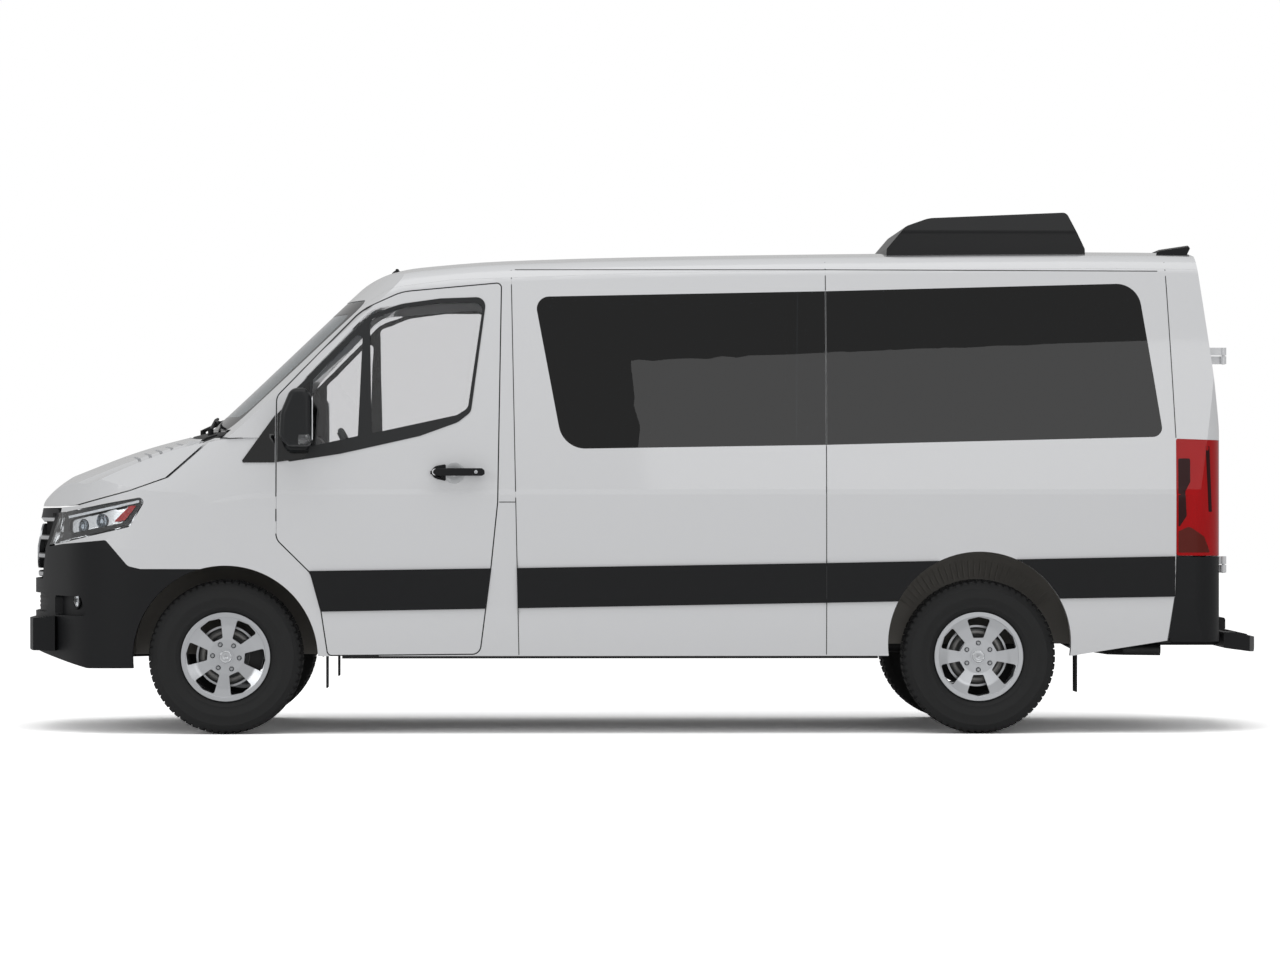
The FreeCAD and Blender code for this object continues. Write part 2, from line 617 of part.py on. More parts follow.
# Grille: a frame with bars behind it that follow the bowed front.
GRILLE_FRAME = 46
BAR_HEIGHT = 26
BOSS_Z = 905
BOSS_RADIUS = 112
front_face = cross_prism(GRILLE, -3300, -2500)
ring = nose_wall.common(front_face).cut(cross_prism(grown(GRILLE, -GRILLE_FRAME), -3300, -2500))
bars = []
for z in (770, 860, 950, 1040):
    bars.append(box(-3300, -2500, -640, 10, z - BAR_HEIGHT / 2, z + BAR_HEIGHT / 2))
bar_layer = nose_body(16).cut(nose_body(40)).common(front_face)
boss = bar_layer.common(rod((-3300, 0, BOSS_Z), (-2500, 0, BOSS_Z), BOSS_RADIUS))
bar_layer = bar_layer.common(Part.makeCompound(bars))
node("grille", whole(joined([solid_of(ring)] + bar_layer.Solids + boss.Solids)))

# Headlamps in the corners, and fog lamps in the bumper's recesses.
headlamp = solid_of(nose_wall.common(side_prism(LAMP)).cut(grille_hole))
fog = rod((-3010, FOG_Y, FOG_Z), (-2750, FOG_Y, FOG_Z), FOG_RADIUS)
fog = solid_of(fog.common(nose_plan(30)).cut(bumper))
node("front_lamps", Part.makeCompound([both_sides(headlamp), both_sides(fog)]))

# Wipers, parked low on the screen.
SCREEN_LINE = [(1456, -2190), (1803, -1820), (2152, -1450)]


def on_screen(y, z, off):
    """A point off millimetres ahead of the screen, at height z."""
    profile = along(SCREEN_LINE, z) - off * 0.72
    return (TURN_X - math.sqrt((TURN_X - profile) ** 2 - y * y), y, z + off * 0.69)


wipers = []
for pivot in (-640, -20):
    foot = (on_screen(pivot, 1456, 10)[0] - 12, pivot, 1462)
    way = [on_screen(pivot + step, 1500 + step * 0.04, 24) for step in (60, 200, 340, 480, 600)]
    blade = [rod(a, b, 7) for a, b in zip(way, way[1:])]
    arm = [rod((foot[0], foot[1], 1440), (foot[0], foot[1], 1485), 14), rod((foot[0], foot[1], 1480), way[2], 9)]
    wipers.append(solid_of(joined(blade + arm).cut(cowl_shape.translated(Vector(0, 0, SEAT)))))
node("wipers", Part.makeCompound(wipers))

# Rear frame: corner posts, header and sill round the twin doors.
rear_hole = cross_prism(grown(REAR_DOOR, GAP), 2560, 3000).fuse(box(2560, 3000, -GAP, 10, 579, 2242))
tail_corner = box(2400, 3000, -1400, -REAR_DOOR_WIDTH - 16, 0, 2600)
lamp_wall = cabin_wall.common(side_prism(TAIL_LAMP)).common(tail_corner)
rear_wall = below_roof.common(rear_end).cut(rear_hole)
corner = rear_wall.cut(side_prism(grown(TAIL_LAMP, SEAT)).common(tail_corner)).cut(side_prism(grown(REAR_BUMPER, SEAT)))
corner = solid_of(corner.common(box(2400, 3000, -1400, 10, 1000, 2600)))
post = box(2572, 2668, -928, -870, 560, 2150)
tie = box(2600, 2700, -945, -900, 1445, 2150)
sill = box(2640, 2715, -900, 0, 545, 578)
REAR_HINGE_X = TAIL + 12
REAR_HINGE_Y = REAR_DOOR_WIDTH + GAP
REAR_PIN = 7
KNUCKLE = 15
REAR_HINGES = (822, 1842)
fixed_leaves = []
for z in REAR_HINGES:
    fixed_leaves.append(box(2600, REAR_HINGE_X, -REAR_HINGE_Y - 9, -REAR_HINGE_Y - 1, z + 2, z + 40))
    fixed_leaves.append(rod((REAR_HINGE_X, -REAR_HINGE_Y, z + 2), (REAR_HINGE_X, -REAR_HINGE_Y, z + 40), KNUCKLE))
    fixed_leaves.append(rod((REAR_HINGE_X, -REAR_HINGE_Y, z - 42), (REAR_HINGE_X, -REAR_HINGE_Y, z + 30), REAR_PIN))
posts = joined([post, tie]).common(cabin_outer.translated(Vector(0, 3, 0)))
node("rear_frame", whole(joined([corner, solid_of(posts), sill] + fixed_leaves).cut(quarter_panel)))
lamp = solid_of(lamp_wall)
node("tail_lamps", both_sides(lamp))

# Rear bumper: corners that wrap round to the lamps, and a low bar with a tread between them.
bumper_wall = cabin_wall.common(side_prism(REAR_BUMPER))
corner_block = bumper_wall.common(tail_corner)
low_bar = bumper_wall.common(box(2700, 3000, -1400, 10, 400, 570))
tread = prism([(2752, 562, 0), (2838, 562, 12), (2838, 500, 12), (2752, 500, 0)], -840, 0)
node("rear_bumper", whole(joined([solid_of(corner_block), solid_of(low_bar), tread])))

# Step behind the bumper on two brackets from the chassis.
STEP_BOW = 95
STEP = [(2842, 487, 10), (2903, 487, 30), (FRONT + LENGTH, 450, 7), (FRONT + LENGTH, 430, 6), (3020, 386, 12),
        (2842, 410, 10)]
step_pad = bowed(prism(STEP, -size("step_width") / 2, size("step_width") / 2), FRONT + LENGTH, 1, STEP_BOW,
                 size("step_width") / 2)
step_arms = [box(2380, 2880, y - 25, y + 25, 415, 445) for y in (-410, 410)]
node("rear_step", joined([step_pad] + step_arms))

# Rear doors, each with its glass and handle, hinged at the corner posts.
rear_door_wall = solid_of(cabin_wall.common(cross_prism(REAR_DOOR, 2560, 3000)))
rear_glass_wall = solid_of(rear_door_wall.common(cross_prism(REAR_WINDOW, 2400, 3000)))
rear_glass = pane(rear_glass_wall, SKIN, (-1, 0, -0.12))
rear_door = solid_of(rear_door_wall.cut(cross_prism(grown(REAR_WINDOW, SEAT), 2400, 3000)))
swing = rod((REAR_HINGE_X, -REAR_HINGE_Y, 0), (REAR_HINGE_X, -REAR_HINGE_Y, 2600), REAR_HINGE_Y - GAP / 2)
rear_door = solid_of(rear_door.common(swing))
moving_leaves = []
for z in REAR_HINGES:
    leaf_start = TAIL - 50 if z < 1000 else TAIL - 100
    moving_leaves.append(box(leaf_start, REAR_HINGE_X, -REAR_HINGE_Y + 7, -REAR_HINGE_Y + 46, z - 40, z - 2))
    moving_leaves.append(rod((REAR_HINGE_X, -REAR_HINGE_Y, z - 40), (REAR_HINGE_X, -REAR_HINGE_Y, z - 2), KNUCKLE))
pin_bore = rod((REAR_HINGE_X, -REAR_HINGE_Y, 0), (REAR_HINGE_X, -REAR_HINGE_Y, 2600), REAR_PIN + RUN)
rear_door = solid_of(joined([rear_door] + moving_leaves).cut(pin_bore))
rear_handle = prism([(TAIL - 30, 1322, 0), (TAIL + 26, 1316, 10), (TAIL + 26, 1286, 10), (TAIL - 30, 1280, 0)], -160, -60)
node("rear_door_left", rear_door.fuse(rear_handle).removeSplitter())
node("rear_door_right", mirrored(rear_door))
node("rear_glass_left", rear_glass)
node("rear_glass_right", mirrored(rear_glass))

# Wheels: a tyre, and a cast rim with its brake disc, turned about the Y axis with the outside at -Y.
RIM = size("rim_radius")
BEAD = size("bead_radius")
TYRE = size("tyre_radius")
WIDE = size("tyre_width") / 2
SPINDLE = size("spindle_radius")
HUB = size("hub_radius")
DISC = size("disc_radius")
SPOKES = 6
RIM_HALF = 98
BARREL = 9
NUT_CIRCLE = 65
NUT_RADIUS = 13


def ring(points):
    """A ring about the Y axis from (radius, y, corner radius) points."""
    wire = rounded(points)
    wire.rotate(Vector(0, 0, 0), Vector(1, 0, 0), -90)
    return Part.Face(wire).revolve(Vector(0, 0, 0), Vector(0, 1, 0), 360)


def wheel_place(shape, x, side, spin=0):
    """The wheel's piece at its axle; side is -1 on the left and 1 on the right."""
    piece = shape.copy()
    piece.rotate(Vector(0, 0, 0), Vector(0, 1, 0), spin)
    if side > 0:
        piece = mirrored(piece)
    piece.translate(Vector(x, side * TRACK, AXLE_Z))
    return piece


tyre = ring([
    (BEAD + SEAT, -RIM_HALF + 15, 0), (RIM + 0.6, -RIM_HALF + 12, 0), (TYRE - 70, -WIDE, 0),
    (TYRE - 14, -WIDE + 16, 0), (TYRE, -WIDE + 50, 0), (TYRE, WIDE - 50, 0), (TYRE - 14, WIDE - 16, 0),
    (TYRE - 70, WIDE, 0), (RIM + 0.6, RIM_HALF - 12, 0), (BEAD + SEAT, RIM_HALF - 15, 0),
])
barrel = ring([
    (RIM, -RIM_HALF, 3), (RIM, -RIM_HALF + 11, 3), (BEAD, -RIM_HALF + 14, 2), (BEAD, RIM_HALF - 14, 2),
    (RIM, RIM_HALF - 11, 3), (RIM, RIM_HALF, 3), (BEAD - BARREL, RIM_HALF, 2), (BEAD - BARREL, -RIM_HALF, 2),
])
face = ring([
    (SPINDLE + RUN, -64, 0), (HUB + 14, -64, 8), (150, -70, 60), (BEAD - 4, -92, 0), (BEAD - 4, -62, 0), (150, -44, 60),
    (HUB + 20, -34, 10), (HUB, 12, 0), (SPINDLE + RUN, 12, 0),
])
cap = rod((0, -72, 0), (0, -58, 0), SPINDLE + 6)
window = prism([(-25, 90, 8), (-57, 180, 10), (0, 193, 0), (57, 180, 10), (25, 90, 8)], -120, -20)
pocket = rod((0, -80, NUT_CIRCLE), (0, -56, NUT_CIRCLE), NUT_RADIUS)
for i in range(SPOKES):
    for tool in (window, pocket):
        turned_tool = tool.copy()
        turned_tool.rotate(Vector(0, 0, 0), Vector(0, 1, 0), 360 / SPOKES * i)
        face = face.cut(turned_tool)
disc = ring([(HUB - 4, 22, 0), (HUB + 4, 22, 0), (HUB + 6, 44, 0), (DISC, 44, 0), (DISC, 68, 0), (HUB - 4, 68, 0)])
hub = ring([(SPINDLE + RUN, 11, 0), (HUB - 3, 11, 0), (HUB - 3, 60, 0), (SPINDLE + RUN, 60, 0)])
rim = joined([barrel, face, cap, disc, hub])

# The front spokes stand turned by a few degrees, and the rear ones upright, as they stopped.
WHEELS = {
    "front_left": (FRONT_AXLE, -1, 35),
    "front_right": (FRONT_AXLE, 1, 25),
    "rear_left": (REAR_AXLE, -1, 0),
    "rear_right": (REAR_AXLE, 1, 10),
}
for place, (x, side, spin) in WHEELS.items():
    node("tyre_" + place, wheel_place(tyre, x, side, spin))
    node("rim_" + place, wheel_place(rim, x, side, spin))

# Steering knuckles: a block on the kingpin, the wheel's spindle, a steering arm and the brake caliper.
KINGPIN = 14
KINGPIN_Y = TRACK - size("kingpin_inset")
ARM_DROP = 74
caliper_ring = ring([(112, 26, 0), (DISC + 26, 26, 0), (DISC + 26, 86, 0), (112, 86, 0)])
caliper_ring = caliper_ring.cut(ring([(100, 37, 0), (DISC + 6, 37, 0), (DISC + 6, 75, 0), (100, 75, 0)]))
caliper = caliper_ring.common(box(60, 300, -200, 200, -80, 80))


def knuckle():
    """The left knuckle about the wheel's centre."""
    inner = size("kingpin_inset")
    block = box(-42, 42, inner - 40, inner + 34, -ARM_DROP + 4, ARM_DROP - 4)
    stub = rod((0, inner - 20, 0), (0, -56, 0), SPINDLE)
    bracket = box(30, 150, 80, inner - 14, -24, 24)
    lever = box(-150, -30, inner - 16, inner + 10, -62, -40)
    body = joined([block, stub, bracket, lever, caliper])
    return body.cut(rod((0, inner, -200), (0, inner, 200), KINGPIN + RUN))


knuckle_left = knuckle()
knuckle_left.translate(Vector(FRONT_AXLE, -TRACK, AXLE_Z))
node("knuckle_left", knuckle_left)
node("knuckle_right", mirrored(knuckle_left))

# Frame under the floor: two long rails, cross-members, and the front cradle with the wheel arms and kingpins.
FLOOR = size("floor_height")
THICK = size("floor_thickness")
RAIL_Y = 410
rail = box(-2720, 2600, -RAIL_Y - 32, -RAIL_Y + 32, 446, FLOOR - SEAT)
members = [box(x - 30, x + 30, -RAIL_Y, 0, 502, 556) for x in (-2650, -1450, -500, 450, 1000, 2350)]
cradle = box(FRONT_AXLE - 170, FRONT_AXLE + 170, -RAIL_Y - 10, 0, 300, 350)
tower = box(FRONT_AXLE - 70, FRONT_AXLE + 70, -RAIL_Y - 32, -RAIL_Y + 32, 300, 556)
arms = []
for z in (AXLE_Z - ARM_DROP - 26, AXLE_Z + ARM_DROP):
    arms.append(box(FRONT_AXLE - 60, FRONT_AXLE + 60, -KINGPIN_Y + 38, -RAIL_Y, z, z + 26))
    arms.append(box(FRONT_AXLE - 30, FRONT_AXLE + 30, -KINGPIN_Y, -KINGPIN_Y + 40, z, z + 26))
    arms.append(rod((FRONT_AXLE, -KINGPIN_Y, z), (FRONT_AXLE, -KINGPIN_Y, z + 26), 32))
kingpin = rod((FRONT_AXLE, -KINGPIN_Y, AXLE_Z - ARM_DROP - 26), (FRONT_AXLE, -KINGPIN_Y, AXLE_Z + ARM_DROP + 26),
              KINGPIN)
bumper_arm = box(-3040, -2700, -RAIL_Y - 25, -RAIL_Y + 25, 470, 540)
bumper_arm = solid_of(bumper_arm.cut(bumper).cut(bumper.translated(Vector(SEAT, 0, 0))))
node("chassis_frame", whole(joined([rail, cradle, tower, kingpin, bumper_arm] + members + arms)))

# Rear axle: tube, spindles and differential, leaf springs with their hangers, and the brake calipers.
tube = bound("Cylinder", "axle_tube", (REAR_AXLE, TRACK - 100, AXLE_Z), (1, 0, 0), 90, Radius="Sizes.axle_radius",
             Height="2 * Sizes.half_track - 200")
spindles = bound("Cylinder", "axle_spindle", (REAR_AXLE, TRACK + 56, AXLE_Z), (1, 0, 0), 90,
                 Radius="Sizes.spindle_radius", Height="2 * Sizes.half_track + 112")
differential = bound("Sphere", "axle_differential", (REAR_AXLE, 0, AXLE_Z), Radius="Sizes.differential_radius")
axle_pieces = [tube, spindles, differential]
SPRING_Y = 540
for side in (-1, 1):
    axle_pieces.append(bound("Box", "leaf_spring", (REAR_AXLE - 620, side * SPRING_Y - 35, AXLE_Z + 52), Length=1240,
                             Width=70, Height=34))
    for end in (-600, 560):
        height = FLOOR - SEAT - AXLE_Z - 70
        axle_pieces.append(bound("Box", "spring_hanger", (REAR_AXLE + end, side * SPRING_Y - 25, AXLE_Z + 70),
                                 Length=40, Width=50, Height=height))
FLANGE_Z = 400
SHAFT_END = REAR_AXLE - size("differential_radius") - 50
axle_pieces.append(loose(rod((SHAFT_END, 0, FLANGE_Z), (REAR_AXLE - 100, 0, FLANGE_Z), 60)))
for side in (-1, 1):
    piece = caliper.fuse(box(30, 150, 80, 140, -24, 24))
    piece.rotate(Vector(0, 0, 0), Vector(0, 1, 0), 180)
    if side > 0:
        piece = mirrored(piece)
    piece.translate(Vector(REAR_AXLE, side * TRACK, AXLE_Z))
    axle_pieces.append(loose(piece))
fusion("rear_axle", axle_pieces)

# Engine with its gearbox as one plain block, and the shaft to the rear axle.
GEARBOX_END = -1640
engine = box(-2780, -2150, -300, 300, 556 + SEAT, 1080)
gearbox = box(-2160, GEARBOX_END, -120, 120, 400, 600)
node("engine", engine.fuse(gearbox).removeSplitter())
SHAFT_START_Z = 455
node("prop_shaft", rod((GEARBOX_END + 1.2, 0, SHAFT_START_Z), (SHAFT_END - SEAT - 1, 0, FLANGE_Z), 36))

# Exhaust: pipe, silencer and tail pipe, which passes under the left rail.
EXHAUST = size("exhaust_radius")
route = [(-1400, 250, 430), (250, 250, 466), (1000, 250, 466), (2080, 250, 466), (2190, 180, 408), (2290, -560, 404),
         (2370, -640, 404), (2540, -640, 402)]
pipe_line = Part.makePolygon([Vector(*point) for point in route])
mouth = Part.Wire(Part.makeCircle(EXHAUST, Vector(*route[0]), Vector(*route[1]) - Vector(*route[0])))
pipe = pipe_line.makePipeShell([mouth], True, False, 2)
silencer = rod((505, 250, 464), (945, 250, 464), 80)
node("exhaust", joined([pipe, silencer]))
node("fuel_tank", box(-900, -100, -840, -480, 384, FLOOR - 1 + SEAT * 2))

# Floor with its sills, cut for the rear wheels, and the housings over all four wheels.
HOUSE = 470
LINER = 6
FRONT_HOUSE_Y = 500
REAR_HOUSE_Y = 690


def housing(radius, x, z, inner_y, low):
    """Left wheel housing: a half drum with its inner wall."""
    drum = rod((x, -948, z), (x, -inner_y, z), radius + LINER)
    hollow = rod((x, -960, z), (x, -inner_y - LINER, z), radius)
    return drum.cut(hollow).common(box(x - 700, x + 700, -1000, 0, low, 1200))


FLAP_X = FRONT_AXLE + 494
floor_plate = box(FLAP_X + SEAT, 2571.5, -930, 0, FLOOR, FLOOR + THICK)
sill_front = box(-1480, 1130, -926, -880, SILL - 14, FLOOR + 10)
sill_rear = box(2110, 2560, -926, -880, 440, FLOOR + 10)
floor_half = joined([floor_plate, sill_front, sill_rear])
floor_half = floor_half.cut(rod((REAR_AXLE, -1400, REAR_ARCH_Z), (REAR_AXLE, -REAR_HOUSE_Y, REAR_ARCH_Z),
                                HOUSE + LINER + SEAT))
node("floor", whole(floor_half))
rear_house = housing(HOUSE, REAR_AXLE, REAR_ARCH_Z, REAR_HOUSE_Y, 430)
front_house = housing(HOUSE, FRONT_AXLE, AXLE_Z, FRONT_HOUSE_Y, 375)
front_house = front_house.cut(box(FRONT_AXLE - 68, FRONT_AXLE + 68, -520, -490, 440, 484))
inner_side = Vector(0, 1, 0)
front_house = solid_of(front_house.common(nose_inside.translated(inner_side)))
rear_house = solid_of(rear_house.common(cabin_inside.translated(inner_side)))
node("wheel_housings", Part.makeCompound([both_sides(rear_house), both_sides(front_house)]))

# Firewall with its sloping toe board between the front wheels.
firewall = joined([
    prism([(-1996, 1320, 0), (-1984, 1320, 0), (-1984, 872, 0), (-1554, 574, 0), (-1554, 560, 0), (-1562, 560, 0),
           (-1996, 862, 0)], -FRONT_HOUSE_Y + 2, 0),
    box(-1996, -1984, -860, 0, 870, 1320),
])
node("firewall", whole(firewall))

# Mud flaps behind the wheels.
flap_front = box(FLAP_X - 8, FLAP_X, -895, -745, 222, 590)
flap_rear = box(REAR_AXLE + 478, REAR_AXLE + 486, -895, -745, 200, FLOOR - SEAT)
node("mud_flaps", Part.makeCompound([both_sides(flap_front), both_sides(flap_rear)]))

# Dashboard across the cab.
DASH = [(-1983, 1400, 10), (-1720, 1410, 60), (-1575, 1345, 50), (-1590, 1190, 40), (-1690, 1110, 60),
        (-1760, 900, 40), (-1983, 900, 10)]
dash = prism(DASH, -870, 870)
binnacle = prism([(-1700, 1380, 20), (-1690, 1455, 30), (-1590, 1440, 40), (-1575, 1330, 10)], -600, -260)

# Steering wheel on its column, about its own leaning axis.
WHEEL_Y = -430
WHEEL_AT = Vector(-1420, WHEEL_Y, 1300)
COLUMN_TILT = 25
column_way = Vector(-math.cos(math.radians(COLUMN_TILT)), 0, -math.sin(math.radians(COLUMN_TILT)))
hoop = bound("Torus", "hoop", Radius1="Sizes.steering_wheel_radius", Radius2="Sizes.steering_grip")
boss = bound("Cylinder", "boss", (0, 0, -30), Radius=52, Height=34)
bars = [bound("Box", "bar", (0, -14, -22), Length="Sizes.steering_wheel_radius", Width=28, Height=14) for i in range(3)]
for bar, angle in zip(bars, (0, 180, 270)):
    bar.Placement = Placement(Vector(0, 0, 0), Rotation(Vector(0, 0, 1), angle)).multiply(bar.Placement)
steering = fusion("steering_wheel", [hoop, boss] + bars)
steering.Placement = Placement(WHEEL_AT, Rotation(Vector(0, 0, -1), column_way))
stalk_end = WHEEL_AT + column_way * (30 + SEAT)
column = rod(tuple(stalk_end), tuple(WHEEL_AT + column_way * 175), 30)
node("dashboard", joined([dash, binnacle, column]))

# Seats: cab seats and four rows, each a cushion with its back on two side plates.
SEAT_W = size("seat_width")
DEEP = size("seat_depth")
CUSHION_Z = 960
BACK_TOP = 1690
BASE_REACH = 660
seat_shapes = []
base_shapes = []


def add_seat(x, y, width):
    outline = [(x, CUSHION_Z, 40), (x - 10, CUSHION_Z + 100, 45), (x + DEEP - 40, CUSHION_Z + 80, 40),
               (x + DEEP + 60, BACK_TOP - 20, 40), (x + DEEP + 150, BACK_TOP, 40), (x + DEEP + 90, CUSHION_Z + 20, 60),
               (x + DEEP - 20, CUSHION_Z, 30)]
    seat_shapes.append(prism(outline, y - width / 2, y + width / 2))
    for side in (-1, 1):
        plate_y = max(-BASE_REACH, min(BASE_REACH, y + side * (width / 2 - 60)))
        plate = prism([(x + 60, FLOOR + THICK + SEAT, 0), (x + 110, CUSHION_Z - SEAT, 0),
                       (x + DEEP - 60, CUSHION_Z - SEAT, 0), (x + DEEP - 20, FLOOR + THICK + SEAT, 0)],
                      plate_y - 14, plate_y + 14)
        base_shapes.append(plate)


CAB_SEAT_X = -1320
add_seat(CAB_SEAT_X, WHEEL_Y - 30, SEAT_W)
add_seat(CAB_SEAT_X, -WHEEL_Y + 30, SEAT_W)
for row in range(4):
    x = -480 + size("seat_pitch") * row
    last = row == 3
    for y in ((-620, -190, 240, 670) if last else (-620, -130, 620)):
        add_seat(x, y, 400 if last else SEAT_W)
node("seats", Part.makeCompound(seat_shapes))
node("seat_bases", Part.makeCompound(base_shapes))

# Roof cooling unit: a low shell with a sloping front, seated on the crowned roof.
COOLER = [(1186, 2250, 0), (1190, 2374, 12), (1285, 2486, 60), (1400, 2527, 160), (2082, 2556, 30), (2168, 2374, 20),
          (2172, 2250, 0)]
COOLER_HALF = size("cooler_width") / 2
cooler = prism(COOLER, -COOLER_HALF, 0)
cooler = cooler.common(cross_prism([(-COOLER_HALF, 2200, 0), (-COOLER_HALF, 2455, 60), (-COOLER_HALF + 70, 2600, 0),
                                    (10, 2600, 0), (10, 2200, 0)], 1100, 2300))
cooler = cooler.cut(cabin_outer.translated(Vector(0, 0, SEAT)))
node("roof_air_conditioner", whole(solid_of(cooler)))
FIN_HALF = 690
FIN_SWEEP = Vector(-78, 0, -36)
fin_middle = rounded([(2560, 2300, 0), (2600, 2396, 20), (2766, 2421, 8), (2742, 2372, 12), (2690, 2300, 0)])
fin_end = fin_middle.translated(FIN_SWEEP + Vector(0, -FIN_HALF, 0))
fin = Part.makeLoft([fin_middle, fin_end], True, True)
node("rear_spoiler", whole(solid_of(fin.cut(cabin_outer.translated(Vector(0, 0, SEAT))))))

# Cladding along the sides, proud of the panels.
PROUD = size("cladding_proud")
band = prism(CLADDING, -HALF - PROUD, -HALF - 1).cut(front_arch).cut(rear_arch)
band_rear = band.cut(cab_side).cut(rear_end)
door_band = band.common(side_prism(FRONT_DOOR))
node("side_cladding", both_sides(band_rear))

# Front doors: shell, glass and trim with the mirror, the handle and the band.
MIRROR = [(-1779, 1400, 40), (-1772, 1640, 60), (-1700, 1682, 60), (-1618, 1660, 50), (-1615, 1395, 50)]
mirror = prism(MIRROR, -1172, -1050)
mirror_arm = prism([(-1740, 1385, 10), (-1730, 1440, 10), (-1650, 1440, 10), (-1650, 1385, 10)], -1060, -962)
handle = prism([(-1041, 1258, 15), (-1041, 1290, 15), (-789, 1290, 15), (-789, 1258, 15)], -HALF - 42, -HALF - 20)
handle_feet = [box(x, x + 40, -HALF - 30, -HALF + 30, 1262, 1286) for x in (-1025, -845)]
door_left = solid_of(joined([solid_of(door_shell), mirror_arm, handle] + handle_feet))
for side, name in ((-1, "left"), (1, "right")):
    trim = Part.makeCompound([solid_of(mirror.cut(mirror_arm)), solid_of(door_band)])
    pieces = [door_left, solid_of(door_glass), trim]
    if side > 0:
        pieces = [mirrored(piece) for piece in pieces]
    for label, piece in zip(("front_door_", "door_glass_", "door_trim_"), pieces):
        node(label + name, piece)

# Every object must be sound before the solids are written.
doc.recompute()
os.makedirs("parts", exist_ok=True)
for piece in doc.Objects:
    if "Invalid" in piece.State or "Error" in piece.State:
        raise RuntimeError(f"{piece.Label} did not build: {piece.State}")
for name, piece in nodes.items():
    shape = piece.Shape
    if shape.isNull() or not shape.isValid():
        raise RuntimeError(f"{name} has no sound shape")
    shape.exportStep(f"parts/{name}.step")
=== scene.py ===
"""A low-roof minibus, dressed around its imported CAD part.

Sizes are in metres unless a name says otherwise; the nose points to -X and the driver sits at -Y.
"""
import math

import bmesh
import bpy
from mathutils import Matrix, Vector
from mathutils.bvhtree import BVHTree
from mathutils.geometry import delaunay_2d_cdt


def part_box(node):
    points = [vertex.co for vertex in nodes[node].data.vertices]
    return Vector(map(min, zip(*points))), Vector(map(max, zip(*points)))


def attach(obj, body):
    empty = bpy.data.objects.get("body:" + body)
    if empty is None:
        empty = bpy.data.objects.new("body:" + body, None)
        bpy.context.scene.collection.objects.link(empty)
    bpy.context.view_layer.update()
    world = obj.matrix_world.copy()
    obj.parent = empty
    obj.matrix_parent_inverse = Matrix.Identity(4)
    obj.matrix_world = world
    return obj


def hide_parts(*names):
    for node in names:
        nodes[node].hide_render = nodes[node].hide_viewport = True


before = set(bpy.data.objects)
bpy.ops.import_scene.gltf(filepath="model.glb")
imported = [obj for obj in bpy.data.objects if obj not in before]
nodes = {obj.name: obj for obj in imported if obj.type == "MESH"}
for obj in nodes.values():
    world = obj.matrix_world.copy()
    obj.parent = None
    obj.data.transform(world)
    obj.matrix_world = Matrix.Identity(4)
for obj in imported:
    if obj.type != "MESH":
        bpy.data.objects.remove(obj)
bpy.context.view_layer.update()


# The studio: a pale floor that keeps the shadow, in a white surround that the camera sees, also through
# glass. Reflections see that surround at half strength. Three soft boxes light the van from above, from the
# front and from behind the camera.
def linear(colour):
    """An sRGB hex colour as linear values with full alpha."""
    channels = [int(colour[at:at + 2], 16) / 255 for at in (1, 3, 5)]
    return [c / 12.92 if c <= 0.04045 else ((c + 0.055) / 1.055) ** 2.4 for c in channels] + [1.0]


def add(tree, kind, settings=None, values=None, links=None):
    """Adds one shader or geometry node with its settings, socket values and incoming links."""
    made = tree.nodes.new(kind)
    for key, value in (settings or {}).items():
        setattr(made, key, value)
    for key, value in (values or {}).items():
        made.inputs[key].default_value = value
    for key, source in (links or {}).items():
        tree.links.new(source, made.inputs[key])
    return made


def seen_directly(tree):
    """A socket that is 1 for what the camera sees, straight or through glass, and 0 otherwise."""
    path = add(tree, "ShaderNodeLightPath")
    either = add(tree, "ShaderNodeMath", {"operation": "MAXIMUM"},
                 links={0: path.outputs["Is Camera Ray"], 1: path.outputs["Is Transmission Ray"]})
    return either.outputs[0]


def linked(name, data):
    """An object for some mesh, lamp or camera data, put in the scene."""
    made = bpy.data.objects.new(name, data)
    bpy.context.collection.objects.link(made)
    return made


FLOOR_COLOUR = "#f4f4f4"
FLOOR_SEEN = 2.2
FLOOR_SIZE = 90
FLOOR_DROP = 0.001
floor_finish = bpy.data.materials.new("studio_floor")
floor_finish.use_nodes = True
tree = floor_finish.node_tree
tree.nodes.clear()
matt = add(tree, "ShaderNodeBsdfDiffuse", values={"Color": linear(FLOOR_COLOUR)})
bright = add(tree, "ShaderNodeBsdfDiffuse", values={"Color": (FLOOR_SEEN, FLOOR_SEEN, FLOOR_SEEN, 1)})
shown = add(tree, "ShaderNodeMixShader",
            links={0: seen_directly(tree), 1: matt.outputs[0], 2: bright.outputs[0]})
add(tree, "ShaderNodeOutputMaterial", links={"Surface": shown.outputs[0]})
bpy.ops.mesh.primitive_plane_add(size=FLOOR_SIZE, location=(0, 0, -FLOOR_DROP))
studio_floor = bpy.context.object
studio_floor.name = "studio_floor"
studio_floor.data.materials.append(floor_finish)

WORLD_LIGHT = 0.5
world = bpy.data.worlds.new("studio_world")
bpy.context.scene.world = world
world.use_nodes = True
tree = world.node_tree
tree.nodes.clear()
dim = add(tree, "ShaderNodeBackground", values={"Color": linear("#ffffff"), "Strength": WORLD_LIGHT})
white = add(tree, "ShaderNodeBackground", values={"Color": linear("#ffffff"), "Strength": 1.0})
mix = add(tree, "ShaderNodeMixShader",
          links={0: seen_directly(tree), 1: dim.outputs[0], 2: white.outputs[0]})
add(tree, "ShaderNodeOutputWorld", links={"Surface": mix.outputs[0]})


